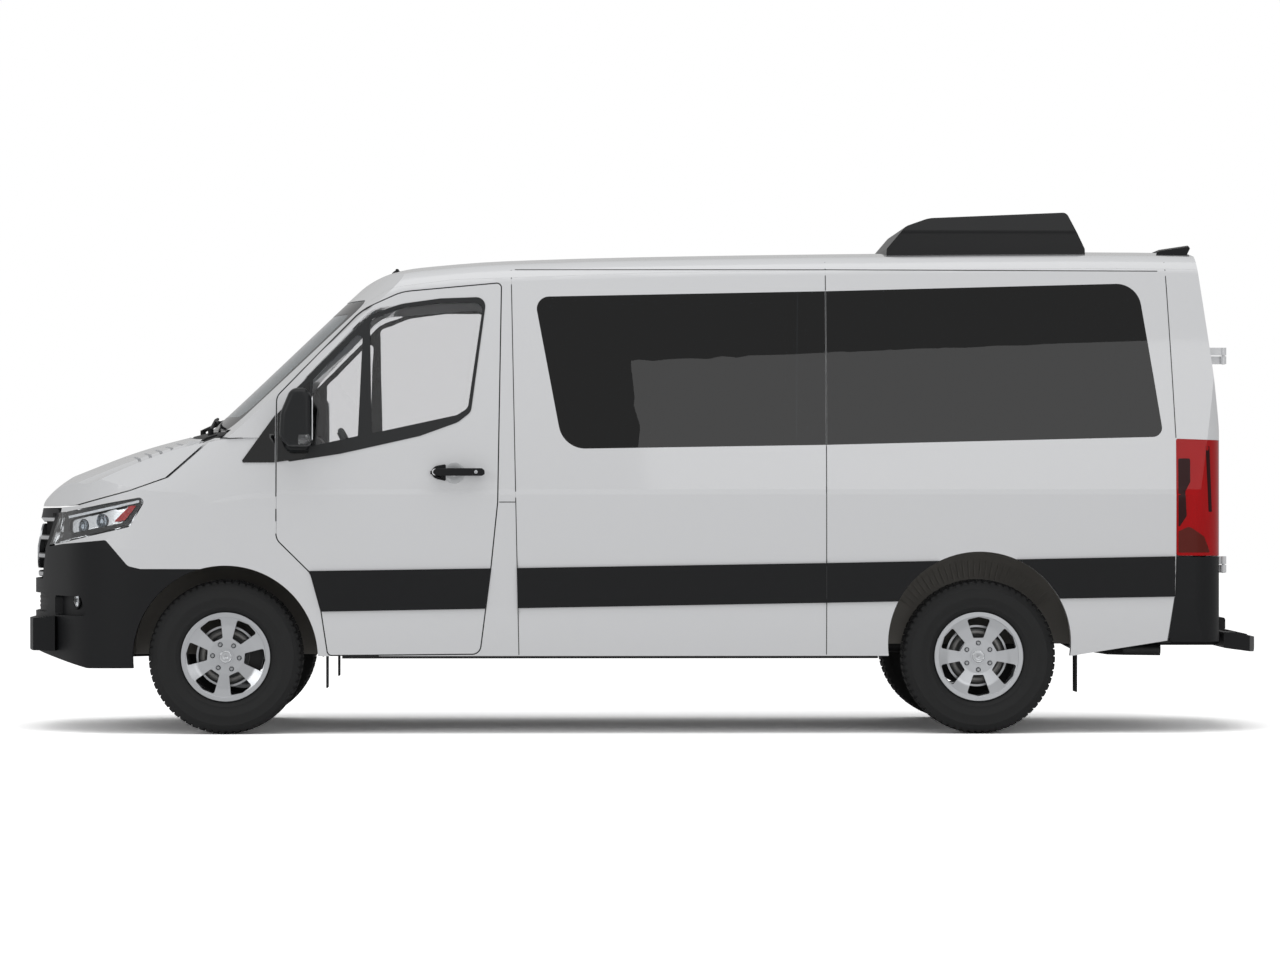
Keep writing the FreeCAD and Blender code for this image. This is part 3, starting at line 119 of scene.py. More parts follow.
def aimed(piece, place, aim):
    """Puts a lamp or a camera at a place, looking at a point."""
    piece.location = place
    piece.rotation_euler = (Vector(aim) - Vector(place)).to_track_quat("-Z", "Y").to_euler()


def soft_box(name, place, aim, size, power):
    """One soft studio light of the given size, aimed at a point."""
    data = bpy.data.lights.new(name, "AREA")
    data.shape = "RECTANGLE"
    data.size, data.size_y = size
    data.energy = power
    aimed(linked(name, data), place, aim)


soft_box("top_box", (0, -3, 8.5), (0, 0, 0), (12, 6), 260)
soft_box("front_box", (-9, -8, 4.5), (-1, 0, 1), (4, 4), 130)
soft_box("camera_box", (4, -12, 3.5), (0, 0, 1.2), (8, 4), 110)

# The camera stands far off, a little below the windows and square to the driver's side.
CAMERA_PLACE = (-0.562, -27.5, 1.235)
CAMERA_AIM = (-0.012, 0.0, 1.235)
LENS_MM = 153.48
camera_data = bpy.data.cameras.new("camera")
camera_data.lens = LENS_MM
camera_data.sensor_width = 36
camera = linked("camera", camera_data)
aimed(camera, CAMERA_PLACE, CAMERA_AIM)
bpy.context.scene.camera = camera
bpy.context.scene.view_settings.view_transform = "Standard"


# Painted panels: pressed steel, welded, primed and sprayed in a silver-white enamel under a clear coat.
# The outer skin is smooth and glossy, with broad soft highlights.
def finish(name, colour, roughness, grain_mm=0.0, depth_mm=0.0, **sockets):
    """A material from a colour, a roughness and a grain of a real size; sockets are set by name."""
    made = bpy.data.materials.new(name)
    made.use_nodes = True
    tree = made.node_tree
    shader = tree.nodes["Principled BSDF"]
    shader.inputs["Base Color"].default_value = linear(colour)
    shader.inputs["Roughness"].default_value = roughness
    for key, value in sockets.items():
        shader.inputs[key.replace("_", " ")].default_value = value
    if grain_mm:
        place = add(tree, "ShaderNodeTexCoord")
        noise = add(tree, "ShaderNodeTexNoise", values={"Scale": 1000 / grain_mm, "Detail": 3.0},
                    links={"Vector": place.outputs["Object"]})
        bump = add(tree, "ShaderNodeBump", values={"Strength": 1.0, "Distance": depth_mm / 1000},
                   links={"Height": noise.outputs["Fac"]})
        tree.links.new(bump.outputs["Normal"], shader.inputs["Normal"])
    return made


def coat(material, *names):
    """Gives CAD nodes a material in place of their plain one."""
    for name in names:
        materials = nodes[name].data.materials
        if len(materials) == 0:
            materials.append(material)
        for at in range(len(materials)):
            materials[at] = material


# Sprayed enamel: the clear coat gives a sharp highlight over the broad one of the colour beneath.
enamel = finish("clear_coated_enamel", "#d9dadc", 0.32, Coat_Weight=1.0, Coat_Roughness=0.05)
coat(enamel, "roof_panel", "cab_frames", "side_panel_left", "side_panel_right", "quarter_panels",
     "sliding_door", "fenders", "hood", "rear_frame", "rear_door_left", "rear_door_right", "front_door_left",
     "front_door_right")


# Unpainted trim: bumpers, cladding, step and cowl, moulded in black polypropylene and clipped or screwed on.
# Its leather grain breaks the highlight up; it is drawn coarser than the real one so that it shows.
grained = finish("grained_polypropylene", "#131416", 0.5, grain_mm=1.6, depth_mm=0.12,
                 Specular_IOR_Level=0.25)
coat(grained, "front_bumper", "rear_bumper", "cowl", "side_cladding", "door_trim_left", "door_trim_right",
     "rear_step", "wipers", "rear_spoiler", "grille")


# Roof cooling unit: its cover is vacuum formed from black ABS sheet, which leaves it smooth with a low sheen,
# and it is screwed down on the roof over a seal.
cover = finish("vacuum_formed_abs", "#0c0d0f", 0.34, Specular_IOR_Level=0.3)
coat(cover, "roof_air_conditioner")


# Windows: toughened float glass, bonded in. The side and rear panes are dark privacy glass, tinted right
# through, so that the cabin only just shows behind them.
privacy = finish("privacy_glass", "#16191c", 0.0, Transmission_Weight=1.0, IOR=1.5)
coat(privacy, "side_glass", "rear_glass_left", "rear_glass_right")
# The front doors' glass is nearly clear, and the laminated windscreen has a light grey tint.
clear_glass = finish("float_glass", "#e6e6e7", 0.0, Transmission_Weight=1.0, IOR=1.5)
coat(clear_glass, "door_glass_left", "door_glass_right")
screen_glass = finish("laminated_glass", "#6f7d84", 0.0, Transmission_Weight=1.0, IOR=1.5)
coat(screen_glass, "windshield")


# Lamp lenses: the red ones are moulded in acrylic, deep in colour with a wet gloss, and the front ones in
# clear polycarbonate, through which the bowls and bezels show.
red_lens = finish("red_acrylic", "#b8050c", 0.05, Specular_IOR_Level=0.2, Transmission_Weight=0.2, IOR=1.49)
clear_lens = finish("clear_polycarbonate", "#f4f6f8", 0.02, Transmission_Weight=1.0, IOR=1.58)
coat(red_lens, "tail_lamps")
coat(clear_lens, "front_lamps")


# Underbody: frame, axle, tank, floor and seat frames, all in satin black chassis paint.
chassis_paint = finish("chassis_paint", "#141516", 0.5)
coat(chassis_paint, "chassis_frame", "rear_axle", "prop_shaft", "engine", "knuckle_left", "knuckle_right",
     "fuel_tank", "floor", "firewall", "seat_bases", "exhaust")
# The pressed wheel housings are a dull grey with a coarse road-worn texture.
liner = finish("pressed_liner", "#77746f", 0.7, grain_mm=3, depth_mm=0.2)
coat(liner, "wheel_housings")
# The mud flaps are cut from sheet rubber and look matt and slightly rough.
flap_rubber = finish("sheet_rubber", "#17181a", 0.8, grain_mm=1.0, depth_mm=0.1)
coat(flap_rubber, "mud_flaps")


# Cab: the dashboard and the steering wheel's cover are a soft-touch plastic, with a fine grain that keeps
# them free of highlights.
soft_black = finish("soft_touch_plastic", "#222426", 0.6, grain_mm=1.5, depth_mm=0.1)
coat(soft_black, "dashboard", "steering_wheel")


# Wheels: a moulded tyre with ribbed walls and tread blocks, on a cast alloy rim that six nuts hold.
# The rims keep their solids; the tyre, the nuts, a centre cap with a bright ring, and the worn face of the
# brake disc are made here.
def fit(piece, body):
    """Says which body a piece rides on."""
    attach(piece, body)
    return piece


def mesh_object(name, points, faces, material, smooth=True):
    """An object made from plain points and faces, with its normals turned outwards."""
    mesh = bpy.data.meshes.new(name)
    mesh.from_pydata([tuple(point) for point in points], [], faces)
    mesh.materials.append(material)
    work = bmesh.new()
    work.from_mesh(mesh)
    bmesh.ops.remove_doubles(work, verts=work.verts, dist=1e-6)
    bmesh.ops.recalc_face_normals(work, faces=work.faces)
    for face in work.faces:
        face.smooth = smooth
    work.to_mesh(mesh)
    work.free()
    return linked(name, mesh)


def from_bmesh(name, work, material=None):
    """An object from a bmesh, which is freed."""
    mesh = bpy.data.meshes.new(name)
    work.to_mesh(mesh)
    work.free()
    if material:
        mesh.materials.append(material)
    return linked(name, mesh)


def sharpen(piece, degrees=35):
    """Keeps edges sharper than an angle crisp while the rest is shaded smooth."""
    piece.data.set_sharp_from_angle(angle=math.radians(degrees))
    return piece


ORIGIN = Vector((0, 0, 0))


def revolved(name, profile, material, segments, centre=ORIGIN):
    """A closed (radius, y) profile turned round the Y axis through a centre."""
    points = []
    for turn in range(segments):
        angle = 2 * math.pi * turn / segments
        for radius, y in profile:
            points.append(Vector((radius * math.cos(angle), y, radius * math.sin(angle))) + centre)
    count = len(profile)
    faces = []
    for turn in range(segments):
        near = turn * count
        far = (turn + 1) % segments * count
        for at in range(count):
            after = (at + 1) % count
            faces.append((near + at, near + after, far + after, far + at))
    return mesh_object(name, points, faces, material)


def band_between(work, near, far):
    """Adds the ring of four-sided faces between two like loops of corners."""
    for at in range(len(near)):
        after = (at + 1) % len(near)
        work.faces.new((near[at], near[after], far[after], far[at]))


def box_mesh(work, low, high, taper=0.0):
    """Adds a box to a bmesh; its +Z face is drawn in by the taper."""
    corners = []
    for z, pull in ((low[2], 0), (high[2], taper)):
        corners.append([work.verts.new((x, y, z)) for x, y in (
            (low[0] + pull, low[1] + pull), (high[0] - pull, low[1] + pull),
            (high[0] - pull, high[1] - pull), (low[0] + pull, high[1] - pull))])
    under, over = corners
    work.faces.new(under[::-1])
    work.faces.new(over)
    band_between(work, under, over)


def ring_tree():
    """The Geometry Nodes tree that sets copies of an item round the Y axis."""
    tree = bpy.data.node_groups.new("copies_round_axle", "GeometryNodeTree")
    tree.interface.new_socket("Geometry", in_out="OUTPUT", socket_type="NodeSocketGeometry")
    sockets = {}
    for label, kind in (("Item", "Object"), ("Count", "Int"), ("Start", "Float"), ("Finish", "Material")):
        socket = tree.interface.new_socket(label, in_out="INPUT", socket_type="NodeSocket" + kind)
        sockets[label] = socket.identifier
    given = add(tree, "NodeGroupInput")
    item = add(tree, "GeometryNodeObjectInfo", links={"Object": given.outputs["Item"]})
    points = add(tree, "GeometryNodePoints", links={"Count": given.outputs["Count"]})
    number = add(tree, "GeometryNodeInputIndex")
    step = add(tree, "ShaderNodeMath", {"operation": "DIVIDE"}, {0: 2 * math.pi}, {1: given.outputs["Count"]})
    angle = add(tree, "ShaderNodeMath", {"operation": "MULTIPLY_ADD"}, {},
                {0: number.outputs[0], 1: step.outputs[0], 2: given.outputs["Start"]})
    turn = add(tree, "ShaderNodeCombineXYZ", links={"Y": angle.outputs[0]})
    rotation = add(tree, "FunctionNodeEulerToRotation", links={"Euler": turn.outputs[0]})
    placed = add(tree, "GeometryNodeInstanceOnPoints", links={
        "Points": points.outputs[0], "Instance": item.outputs["Geometry"], "Rotation": rotation.outputs[0]})
    real = add(tree, "GeometryNodeRealizeInstances", links={0: placed.outputs[0]})
    dressed = add(tree, "GeometryNodeSetMaterial",
                  links={"Geometry": real.outputs[0], "Material": given.outputs["Finish"]})
    add(tree, "NodeGroupOutput", links={0: dressed.outputs[0]})
    return tree, sockets


COPIES, COPY_INPUTS = ring_tree()


def ring_of(name, item, count, start, material, centre):
    """Copies of an item round the Y axis as one plain mesh, moved to a centre."""
    holder = linked(name + "_holder", bpy.data.meshes.new(name + "_holder"))
    array = holder.modifiers.new("copies", "NODES")
    array.node_group = COPIES
    for label, value in (("Item", item), ("Count", count), ("Start", start), ("Finish", material)):
        array[COPY_INPUTS[label]] = value
    depsgraph = bpy.context.evaluated_depsgraph_get()
    mesh = bpy.data.meshes.new_from_object(holder.evaluated_get(depsgraph))
    bpy.data.objects.remove(holder)
    for vertex in mesh.vertices:
        vertex.co += centre
    return linked(name, mesh)


def item_object(name, work):
    """The item that the copies are made of, from a bmesh; it is removed once they stand."""
    bmesh.ops.recalc_face_normals(work, faces=work.faces)
    return from_bmesh(name, work)


# The tyre: moulded and cured rubber, near black and dull, with a grain that keeps the highlight soft.
# Five rows of tread blocks and a block on each shoulder stand on a carcass 8 mm lower.
rubber = finish("cured_tyre_rubber", "#0f1011", 0.7, grain_mm=1.2, depth_mm=0.08)
TYRE_LOW, TYRE_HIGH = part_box("tyre_rear_left")
TYRE_RADIUS = (TYRE_HIGH.z - TYRE_LOW.z) / 2
GROOVE = 0.008
PITCHES = 66
BEAD_RADIUS = 0.2033
RIM_EDGE = 0.2176
BEAD_Y = 0.083
RIM_Y = 0.086
TREAD_Y = 0.0725
half_wall = [(BEAD_RADIUS, BEAD_Y), (RIM_EDGE, RIM_Y), (0.228, 0.096), (0.240, 0.1035), (0.243, 0.1055),
             (0.246, 0.1045), (0.262, 0.1115), (0.285, 0.1195), (0.288, 0.1205), (0.291, 0.1195),
             (0.310, 0.1215), (0.328, 0.1185), (0.331, 0.1195), (0.334, 0.1172), (0.350, 0.1090),
             (0.360, 0.0985), (TYRE_RADIUS - GROOVE, TREAD_Y)]
carcass_profile = [(radius, -y) for radius, y in half_wall] + half_wall[::-1]

# Each row: where its middle lies across the tread, half its width, and its shift round the tyre in pitches.
TREAD_ROWS = ((-0.058, 0.0125, 0.0), (-0.029, 0.0105, 0.20), (0.0, 0.0105, 0.06), (0.029, 0.0105, 0.20),
              (0.058, 0.0125, 0.0))
BLOCK_LENGTH = 0.72
BLOCK_FOOT = 0.014
BLOCK_TOP = 0.0009
BLOCK_TAPER = 0.001
tread = bmesh.new()
pitch = 2 * math.pi * TYRE_RADIUS / PITCHES
for middle, half_row, shift in TREAD_ROWS:
    start = pitch * (shift - 0.5)
    box_mesh(tread, (start, middle - half_row, TYRE_RADIUS - BLOCK_FOOT),
             (start + pitch * BLOCK_LENGTH, middle + half_row, TYRE_RADIUS - BLOCK_TOP), BLOCK_TAPER)
tread_pitch = item_object("tread_pitch", tread)

# The shoulder block's outline, as (y, depth below the tread).
SHOULDER_BLOCK = ((0.0715, 0.0085), (0.0715, 0.0006), (0.0965, 0.0098), (0.1135, 0.0335), (0.1085, 0.0340),
                  (0.0900, 0.0145))
SHOULDER_HALF = 0.30
shoulder = bmesh.new()
for side in (-1, 1):
    near, far = ([shoulder.verts.new((x, side * y, TYRE_RADIUS - deep)) for y, deep in SHOULDER_BLOCK]
                 for x in (-pitch * SHOULDER_HALF, pitch * SHOULDER_HALF))
    shoulder.faces.new(near)
    shoulder.faces.new(far[::-1])
    band_between(shoulder, near, far)
shoulder_pitch = item_object("shoulder_pitch", shoulder)

# A wheel nut: a hexagon with a domed end on a round seat, each as (radius, height, sides).
NUT_CIRCLE = 0.065
NUT_FACE = -0.057
NUT_SEAT = (0.0115, 0.002, 24)
NUT_HEXAGON = (0.0098, 0.013, 6)
NUT_SINK = 0.004
DOME_HEIGHT = 0.003
DOME_SHARE = 0.7
nut = bmesh.new()
for radius, height, sides in (NUT_SEAT, NUT_HEXAGON):
    angles = [2 * math.pi * at / sides for at in range(sides)]
    y = NUT_FACE - height
    bottom = [nut.verts.new((radius * math.cos(angle), NUT_FACE + NUT_SINK,
                             NUT_CIRCLE + radius * math.sin(angle))) for angle in angles]
    top = [nut.verts.new((vertex.co.x, y, vertex.co.z)) for vertex in bottom]
    dome = [nut.verts.new((vertex.co.x * DOME_SHARE, y - DOME_HEIGHT,
                           NUT_CIRCLE + (vertex.co.z - NUT_CIRCLE) * DOME_SHARE)) for vertex in bottom]
    nut.faces.new(bottom)
    nut.faces.new(dome)
    band_between(nut, bottom, top)
    band_between(nut, top, dome)
wheel_nut = item_object("wheel_nut", nut)

# Cast alloy under lacquer: a pale silver that is softer than chrome.
PLACES = ("front_left", "front_right", "rear_left", "rear_right")
alloy = finish("lacquered_cast_alloy", "#c4c6c9", 0.3, Metallic=0.85)
coat(alloy, *["rim_" + place for place in PLACES])
# Plated chrome shows a sharp image of the studio.
chrome_ring = finish("bright_chrome", "#e2e4e6", 0.08, Metallic=1.0)
# Zinc plating is a dull bluish grey, and the swept face of the disc is brighter and finely turned.
zinc = finish("zinc_plated_steel", "#a9abad", 0.35, Metallic=1.0)
machined = finish("machined_cast_iron", "#8d8c8a", 0.42, Metallic=1.0)
DISC_FACE = [(0.088, 0.0425), (0.140, 0.0425), (0.140, 0.0436), (0.088, 0.0436)]
CENTRE_CAP = [(0.0005, -0.0775), (0.026, -0.0765), (0.0295, -0.0745), (0.031, -0.072), (0.0005, -0.072)]
CAP_RING = [(0.0245, -0.0772), (0.0285, -0.0772), (0.0285, -0.0755), (0.0245, -0.0755)]
# How far each wheel has turned, in degrees, and the spokes of a rim, which has as many nuts.
SPIN = {"front_left": 35, "front_right": 25, "rear_left": 0, "rear_right": 10}
SPOKES = 6


def turn_outwards(piece, centre):
    """Turns a piece made for a left wheel round the upright axis, for a right wheel."""
    for vertex in piece.data.vertices:
        vertex.co.x = 2 * centre.x - vertex.co.x
        vertex.co.y = 2 * centre.y - vertex.co.y


for place in PLACES:
    low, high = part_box("tyre_" + place)
    centre = (low + high) / 2
    body = "wheel_" + place
    right = centre.y > 0
    turned = math.radians(SPIN[place])
    carcass = sharpen(revolved("tyre_carcass_" + place, carcass_profile, rubber, 120, centre), 50)
    fit(carcass, body)
    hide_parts("tyre_" + place)
    for label, item in (("tread_", tread_pitch), ("shoulder_", shoulder_pitch)):
        fit(ring_of(label + place, item, PITCHES, turned, rubber, centre), body)
    # Seen from the other side of the van, the spokes turn the other way.
    start = -turned if right else turned
    nuts = ring_of("wheel_nuts_" + place, wheel_nut, SPOKES, start, zinc, centre)
    worn = revolved("disc_face_" + place, DISC_FACE, machined, 96, centre)
    cap = revolved("centre_cap_" + place, CENTRE_CAP, alloy, 48, centre)
    cap_ring = revolved("cap_ring_" + place, CAP_RING, chrome_ring, 48, centre)
    for piece in (nuts, worn, cap, cap_ring):
        if right:
            turn_outwards(piece, centre)
        fit(piece, body)
for item in (tread_pitch, shoulder_pitch, wheel_nut):
    bpy.data.objects.remove(item)


# Door windows: extruded rubber seals and a dividing bar frame the clear glass, and a moulded plate with a
# piano-black gloss fills the corner ahead of it, on the door and on the fender. They are thin sheets, so each
# is drawn as it is seen from the side and dropped on the surface.
SIDES = {"left": -1, "right": 1}
ARC_POINTS = 6


def rounded(corners):
    """An outline from (a, b, radius) corners, with each radius as an arc."""
    points = []
    count = len(corners)
    for at in range(count):
        here = Vector(corners[at][:2])
        before = (Vector(corners[at - 1][:2]) - here).normalized()
        after = (Vector(corners[(at + 1) % count][:2]) - here).normalized()
        radius = corners[at][2]
        if not radius:
            points.append(here)
            continue
        half = before.angle(after) / 2
        reach = radius / math.tan(half)
        middle = here + (before + after).normalized() * (radius / math.sin(half))
        first, last = here + before * reach - middle, here + after * reach - middle
        swing = first.angle_signed(last)
        for step in range(ARC_POINTS + 1):
            angle = -swing * step / ARC_POINTS
            points.append(middle + Vector((first.x * math.cos(angle) - first.y * math.sin(angle),
                                           first.x * math.sin(angle) + first.y * math.cos(angle))))
    return points


def grown(outline, amount):
    """A rounded outline moved outwards by an amount, or inwards if it is negative."""
    area = sum(a.x * b.y - b.x * a.y for a, b in zip(outline, outline[1:] + outline[:1]))
    sign = amount if area > 0 else -amount
    moved = []
    for at, here in enumerate(outline):
        way = outline[(at + 1) % len(outline)] - outline[at - 1]
        way.normalize()
        moved.append(here + Vector((way.y, -way.x)) * sign)
    return moved


def inside(point, outline):
    """Whether a point lies in an outline."""
    hit = False
    for a, b in zip(outline, outline[1:] + outline[:1]):
        if (a.y > point.y) != (b.y > point.y):
            if point.x < (b.x - a.x) * (point.y - a.y) / (b.y - a.y) + a.x:
                hit = not hit
    return hit


def filled(point, outline, holes):
    """Whether a point lies in an outline and in none of its holes."""
    return inside(point, outline) and not any(inside(point, hole) for hole in holes)


def surface_over(meshes):
    """The faces of some meshes, ready to drop points on."""
    points = []
    faces = []
    for mesh in meshes:
        start = len(points)
        points += [vertex.co.copy() for vertex in mesh.vertices]
        faces += [[start + at for at in face.vertices] for face in mesh.polygons]
    return BVHTree.FromPolygons(points, faces)


def surface_of(*names):
    """The faces of some CAD nodes, ready to drop points on."""
    return surface_over([nodes[name].data for name in names])


# For each side of the van: where a ray starts for a place (a, b) seen from there, and which way it runs.
VIEWS = {
    "left": (lambda a, b: Vector((a, -3, b)), Vector((0, 1, 0))),
    "right": (lambda a, b: Vector((a, 3, b)), Vector((0, -1, 0))),
    "front": (lambda a, b: Vector((-6, a, b)), Vector((1, 0, 0))),
    "rear": (lambda a, b: Vector((6, a, b)), Vector((-1, 0, 0))),
    "top": (lambda a, b: Vector((a, b, 5)), Vector((0, 0, -1))),
}


def met(target, view, a, b):
    """Where a ray from one side of the van meets a surface, and the surface's normal there."""
    place, way = VIEWS[view]
    return target.ray_cast(place(a, b), way)[:2]


# Over a joint, a ray may fall through: then the surface beside it is taken, or one that stands 4 mm prouder.
NUDGES = ((0, 0), (0.006, 0), (-0.006, 0), (0, 0.006), (0, -0.006), (0.012, 0), (-0.012, 0))
PROUD = 0.004


def depth_at(spot, target, view):
    """How far a surface lies from the start of the ray at a place, or None past its edge."""
    place, way = VIEWS[view]
    hit = None
    for nudge in NUDGES:
        found = met(target, view, spot.x + nudge[0], spot.y + nudge[1])[0]
        if found is not None and (hit is None or (found - hit).dot(way) < -PROUD):
            hit = found
        if hit is not None and nudge == (0, 0):
            break
    return None if hit is None else (hit - place(spot.x, spot.y)).dot(way)


def flat_net(outline, holes, step):
    """Places and faces that fill an outline less its holes, with the places a step apart."""
    loops = []
    for loop in [outline, *holes]:
        fine = []
        for a, b in zip(loop, loop[1:] + loop[:1]):
            parts = max(1, math.ceil((b - a).length / step))
            fine += [a.lerp(b, at / parts) for at in range(parts)]
        loops.append(fine)
    flat = [point for loop in loops for point in loop]
    edges = []
    start = 0
    for loop in loops:
        edges += [(start + at, start + (at + 1) % len(loop)) for at in range(len(loop))]
        start += len(loop)
    low = Vector((min(p.x for p in flat), min(p.y for p in flat)))
    high = Vector((max(p.x for p in flat), max(p.y for p in flat)))
    across = int((high.x - low.x) / step) + 1
    up = int((high.y - low.y) / step) + 1
    for i in range(1, across):
        for j in range(1, up):
            point = Vector((low.x + i * step, low.y + j * step))
            if filled(point, outline, holes):
                flat.append(point)
    spots, _, net = delaunay_2d_cdt(flat, edges, [], 0, 1e-6)[:3]
    faces = []
    for face in net:
        centre = sum((spots[at] for at in face), Vector((0, 0))) / len(face)
        if filled(centre, outline, holes):
            faces.append(tuple(face))
    return spots, faces


# Most sheets stand a third of a millimetre clear of the surface, so that the two never share a plane.
CLEAR = 0.0003


def laid(name, outline, target, view, material, thick, lift=CLEAR, step=0.03, holes=()):
    """A thin sheet on a surface: an outline, less its holes, seen from one side and dropped on it.

    The lift is how far it stands clear of the surface, and a lift below zero puts it underneath.
    """
    place, way = VIEWS[view]
    spots, net = flat_net(outline, holes, step)
    depths = [depth_at(spot, target, view) for spot in spots]
    known = [(spot, depth) for spot, depth in zip(spots, depths) if depth is not None]
    points = []
    for spot, depth in zip(spots, depths):
        if depth is None:
            depth = min(known, key=lambda pair: (pair[0] - spot).length)[1]
        points.append(place(spot.x, spot.y) + way * (depth - lift - thick))
    count = len(points)
    points += [point + way * thick for point in points]
    faces = []
    used = {}
    for face in net:
        faces.append(face)
        faces.append(tuple(at + count for at in reversed(face)))
        used.update(dict.fromkeys(zip(face, face[1:] + face[:1])))
    # An edge with a face on one side only is on the rim, which is closed by a wall.
    faces += [(a, b, b + count, a + count) for a, b in used if (b, a) not in used]
    kept = sorted({at for face in faces for at in face})
    renumber = {old: new for new, old in enumerate(kept)}
    faces = [tuple(renumber[at] for at in face) for face in faces]
    return sharpen(mesh_object(name, [points[at] for at in kept], faces, material), 40)


# Polished black acrylic mirrors the studio sharply; extruded rubber has a dull skin.
gloss_black = finish("piano_black_acrylic", "#08090a", 0.12, Coat_Weight=0.5, Coat_Roughness=0.05)
seal_rubber = finish("extruded_seal_rubber", "#17191b", 0.45)
DOOR_WINDOW = rounded([(-1.742, 1.322, 0.010), (-1.488, 1.361, 0), (-1.294, 1.404, 0), (-1.100, 1.448, 0),
                       (-0.915, 1.515, 0.10), (-0.852, 1.565, 0.05), (-0.776, 2.129, 0.045),
                       (-1.003, 2.121, 0), (-1.197, 2.094, 0.3), (-1.343, 2.040, 0.1),
                       (-1.682, 1.703, 0.02), (-1.742, 1.645, 0.02)])
MAIN_LIGHT = rounded([(-1.335, 1.461, 0.012), (-1.003, 1.533, 0), (-0.920, 1.551, 0.04),
                      (-0.868, 1.585, 0.04), (-0.794, 2.098, 0.035), (-1.003, 2.098, 0),
                      (-1.190, 2.074, 0.2), (-1.345, 2.014, 0.03)])
QUARTER_LIGHT = rounded([(-1.634, 1.398, 0.012), (-1.402, 1.449, 0.006), (-1.379, 1.972, 0.020),
                         (-1.622, 1.722, 0.020)])
SAIL_ON_FENDER = rounded([(-1.970, 1.320, 0.008), (-1.8045, 1.320, 0), (-1.8045, 1.551, 0)])
SAIL_ON_DOOR = rounded([(-1.7935, 1.322, 0), (-1.660, 1.343, 0), (-1.640, 1.372, 0), (-1.640, 1.712, 0),
                        (-1.7935, 1.557, 0)])
for side in SIDES:
    door = "front_door_" + side
    pane = surface_of("door_glass_" + side, door)
    fit(laid("window_surround_" + side, grown(DOOR_WINDOW, -0.001), pane, side, seal_rubber, thick=0.0025,
             lift=0.0002, holes=[MAIN_LIGHT, QUARTER_LIGHT]), door)
    fit(laid("sail_plate_door_" + side, SAIL_ON_DOOR, pane, side, gloss_black, thick=0.003, lift=0.003),
        door)
    fender = surface_of("fenders", "cab_frames")
    fit(laid("sail_plate_fender_" + side, SAIL_ON_FENDER, fender, side, gloss_black, thick=0.005),
        "body")


# Panel seams: the body's panels are welded or bolted edge to edge, and a dark sealer fills the joints.
# The solids hold those joints shut, so each shows as a line of sealer 4 mm wide, laid over the joint.
SEAM = 0.004
seam_sealer = finish("dark_seam_sealer", "#1a1b1d", 0.6)


def line_along(run, width):
    """A narrow outline that follows a run of places, half the width to each side."""
    points = [Vector(place) for place in run]
    left, right = [], []
    for at, here in enumerate(points):
        before = points[max(at - 1, 0)]
        after = points[min(at + 1, len(points) - 1)]
        way = (after - before).normalized() * width / 2
        left.append(here + Vector((-way.y, way.x)))
        right.append(here + Vector((way.y, -way.x)))
    return left + right[::-1]


SEAMS = {
    "pillar": [(-0.659, 2.300), (-0.620, 0.386)],
    "rear_pane": [(0.875, 2.157), (0.875, 1.404)],
    "quarter": [(0.875, 2.300), (0.875, 2.160)],
    "quarter_low": [(0.875, 1.402), (0.875, 0.386)],
    "corner": [(2.534, 2.340), (2.578, 1.440)],
    "corner_low": [(2.577, 0.864), (2.570, 0.666), (2.536, 0.450)],
    "flap_top": [(-0.716, 1.128), (-0.634, 1.128)],
    "fender_top": [(-2.075, 1.440), (-1.960, 1.440)],
}
flank = surface_of("cab_frames", "side_panel_left", "side_panel_right", "sliding_door", "quarter_panels",
                   "fenders", "roof_panel", "rear_frame", "side_glass", "side_cladding", "tail_lamps",
                   "rear_bumper", "front_door_left", "front_door_right")
for side in SIDES:
    for label, run in SEAMS.items():
        # The fuel flap is on the driver's side only.
        if label == "flap_top" and side == "right":
            continue
        fit(laid("seam_" + label + "_" + side, line_along(run, SEAM), flank, side, seam_sealer, thick=0.0006,
                 lift=0.0001, step=0.04), "body")


# Lamps: each is a moulded lens with its reflectors behind it, seen through the plastic.
# The bright bowls are vacuum plated, and the bezels and chambers before them are moulded in colour.
def skin_copy(name, node, material, heart_x, depth, facing=0.35, thick=0.002, keep=None):
    """A thin shell that follows the outer faces of a CAD node at a depth below them."""
    work = bmesh.new()
    work.from_mesh(nodes[node].data)
    bmesh.ops.remove_doubles(work, verts=work.verts, dist=1e-5)
    work.normal_update()
    gone = []
    for face in work.faces:
        out = face.calc_center_median()
        way = (out - Vector((heart_x, 0, out.z))).normalized()
        if face.normal.dot(way) < facing or (keep and not keep(out)):
            gone.append(face)
    bmesh.ops.delete(work, geom=gone, context="FACES")
    work.normal_update()
    moves = [vertex.normal * depth for vertex in work.verts]
    for vertex, move in zip(work.verts, moves):
        vertex.co -= move
    for face in work.faces:
        face.smooth = True
    made = from_bmesh(name, work, material)
    wall = made.modifiers.new("wall", "SOLIDIFY")
    wall.thickness = thick
    wall.offset = -1
    return made


def stand(piece, place, way):
    """Turns a piece made round the Y axis, with its face to -Y, so that it faces a way from a place."""
    turn = Vector((0, -1, 0)).rotation_difference(Vector(way))
    for vertex in piece.data.vertices:
        vertex.co = turn @ vertex.co + Vector(place)
    return piece


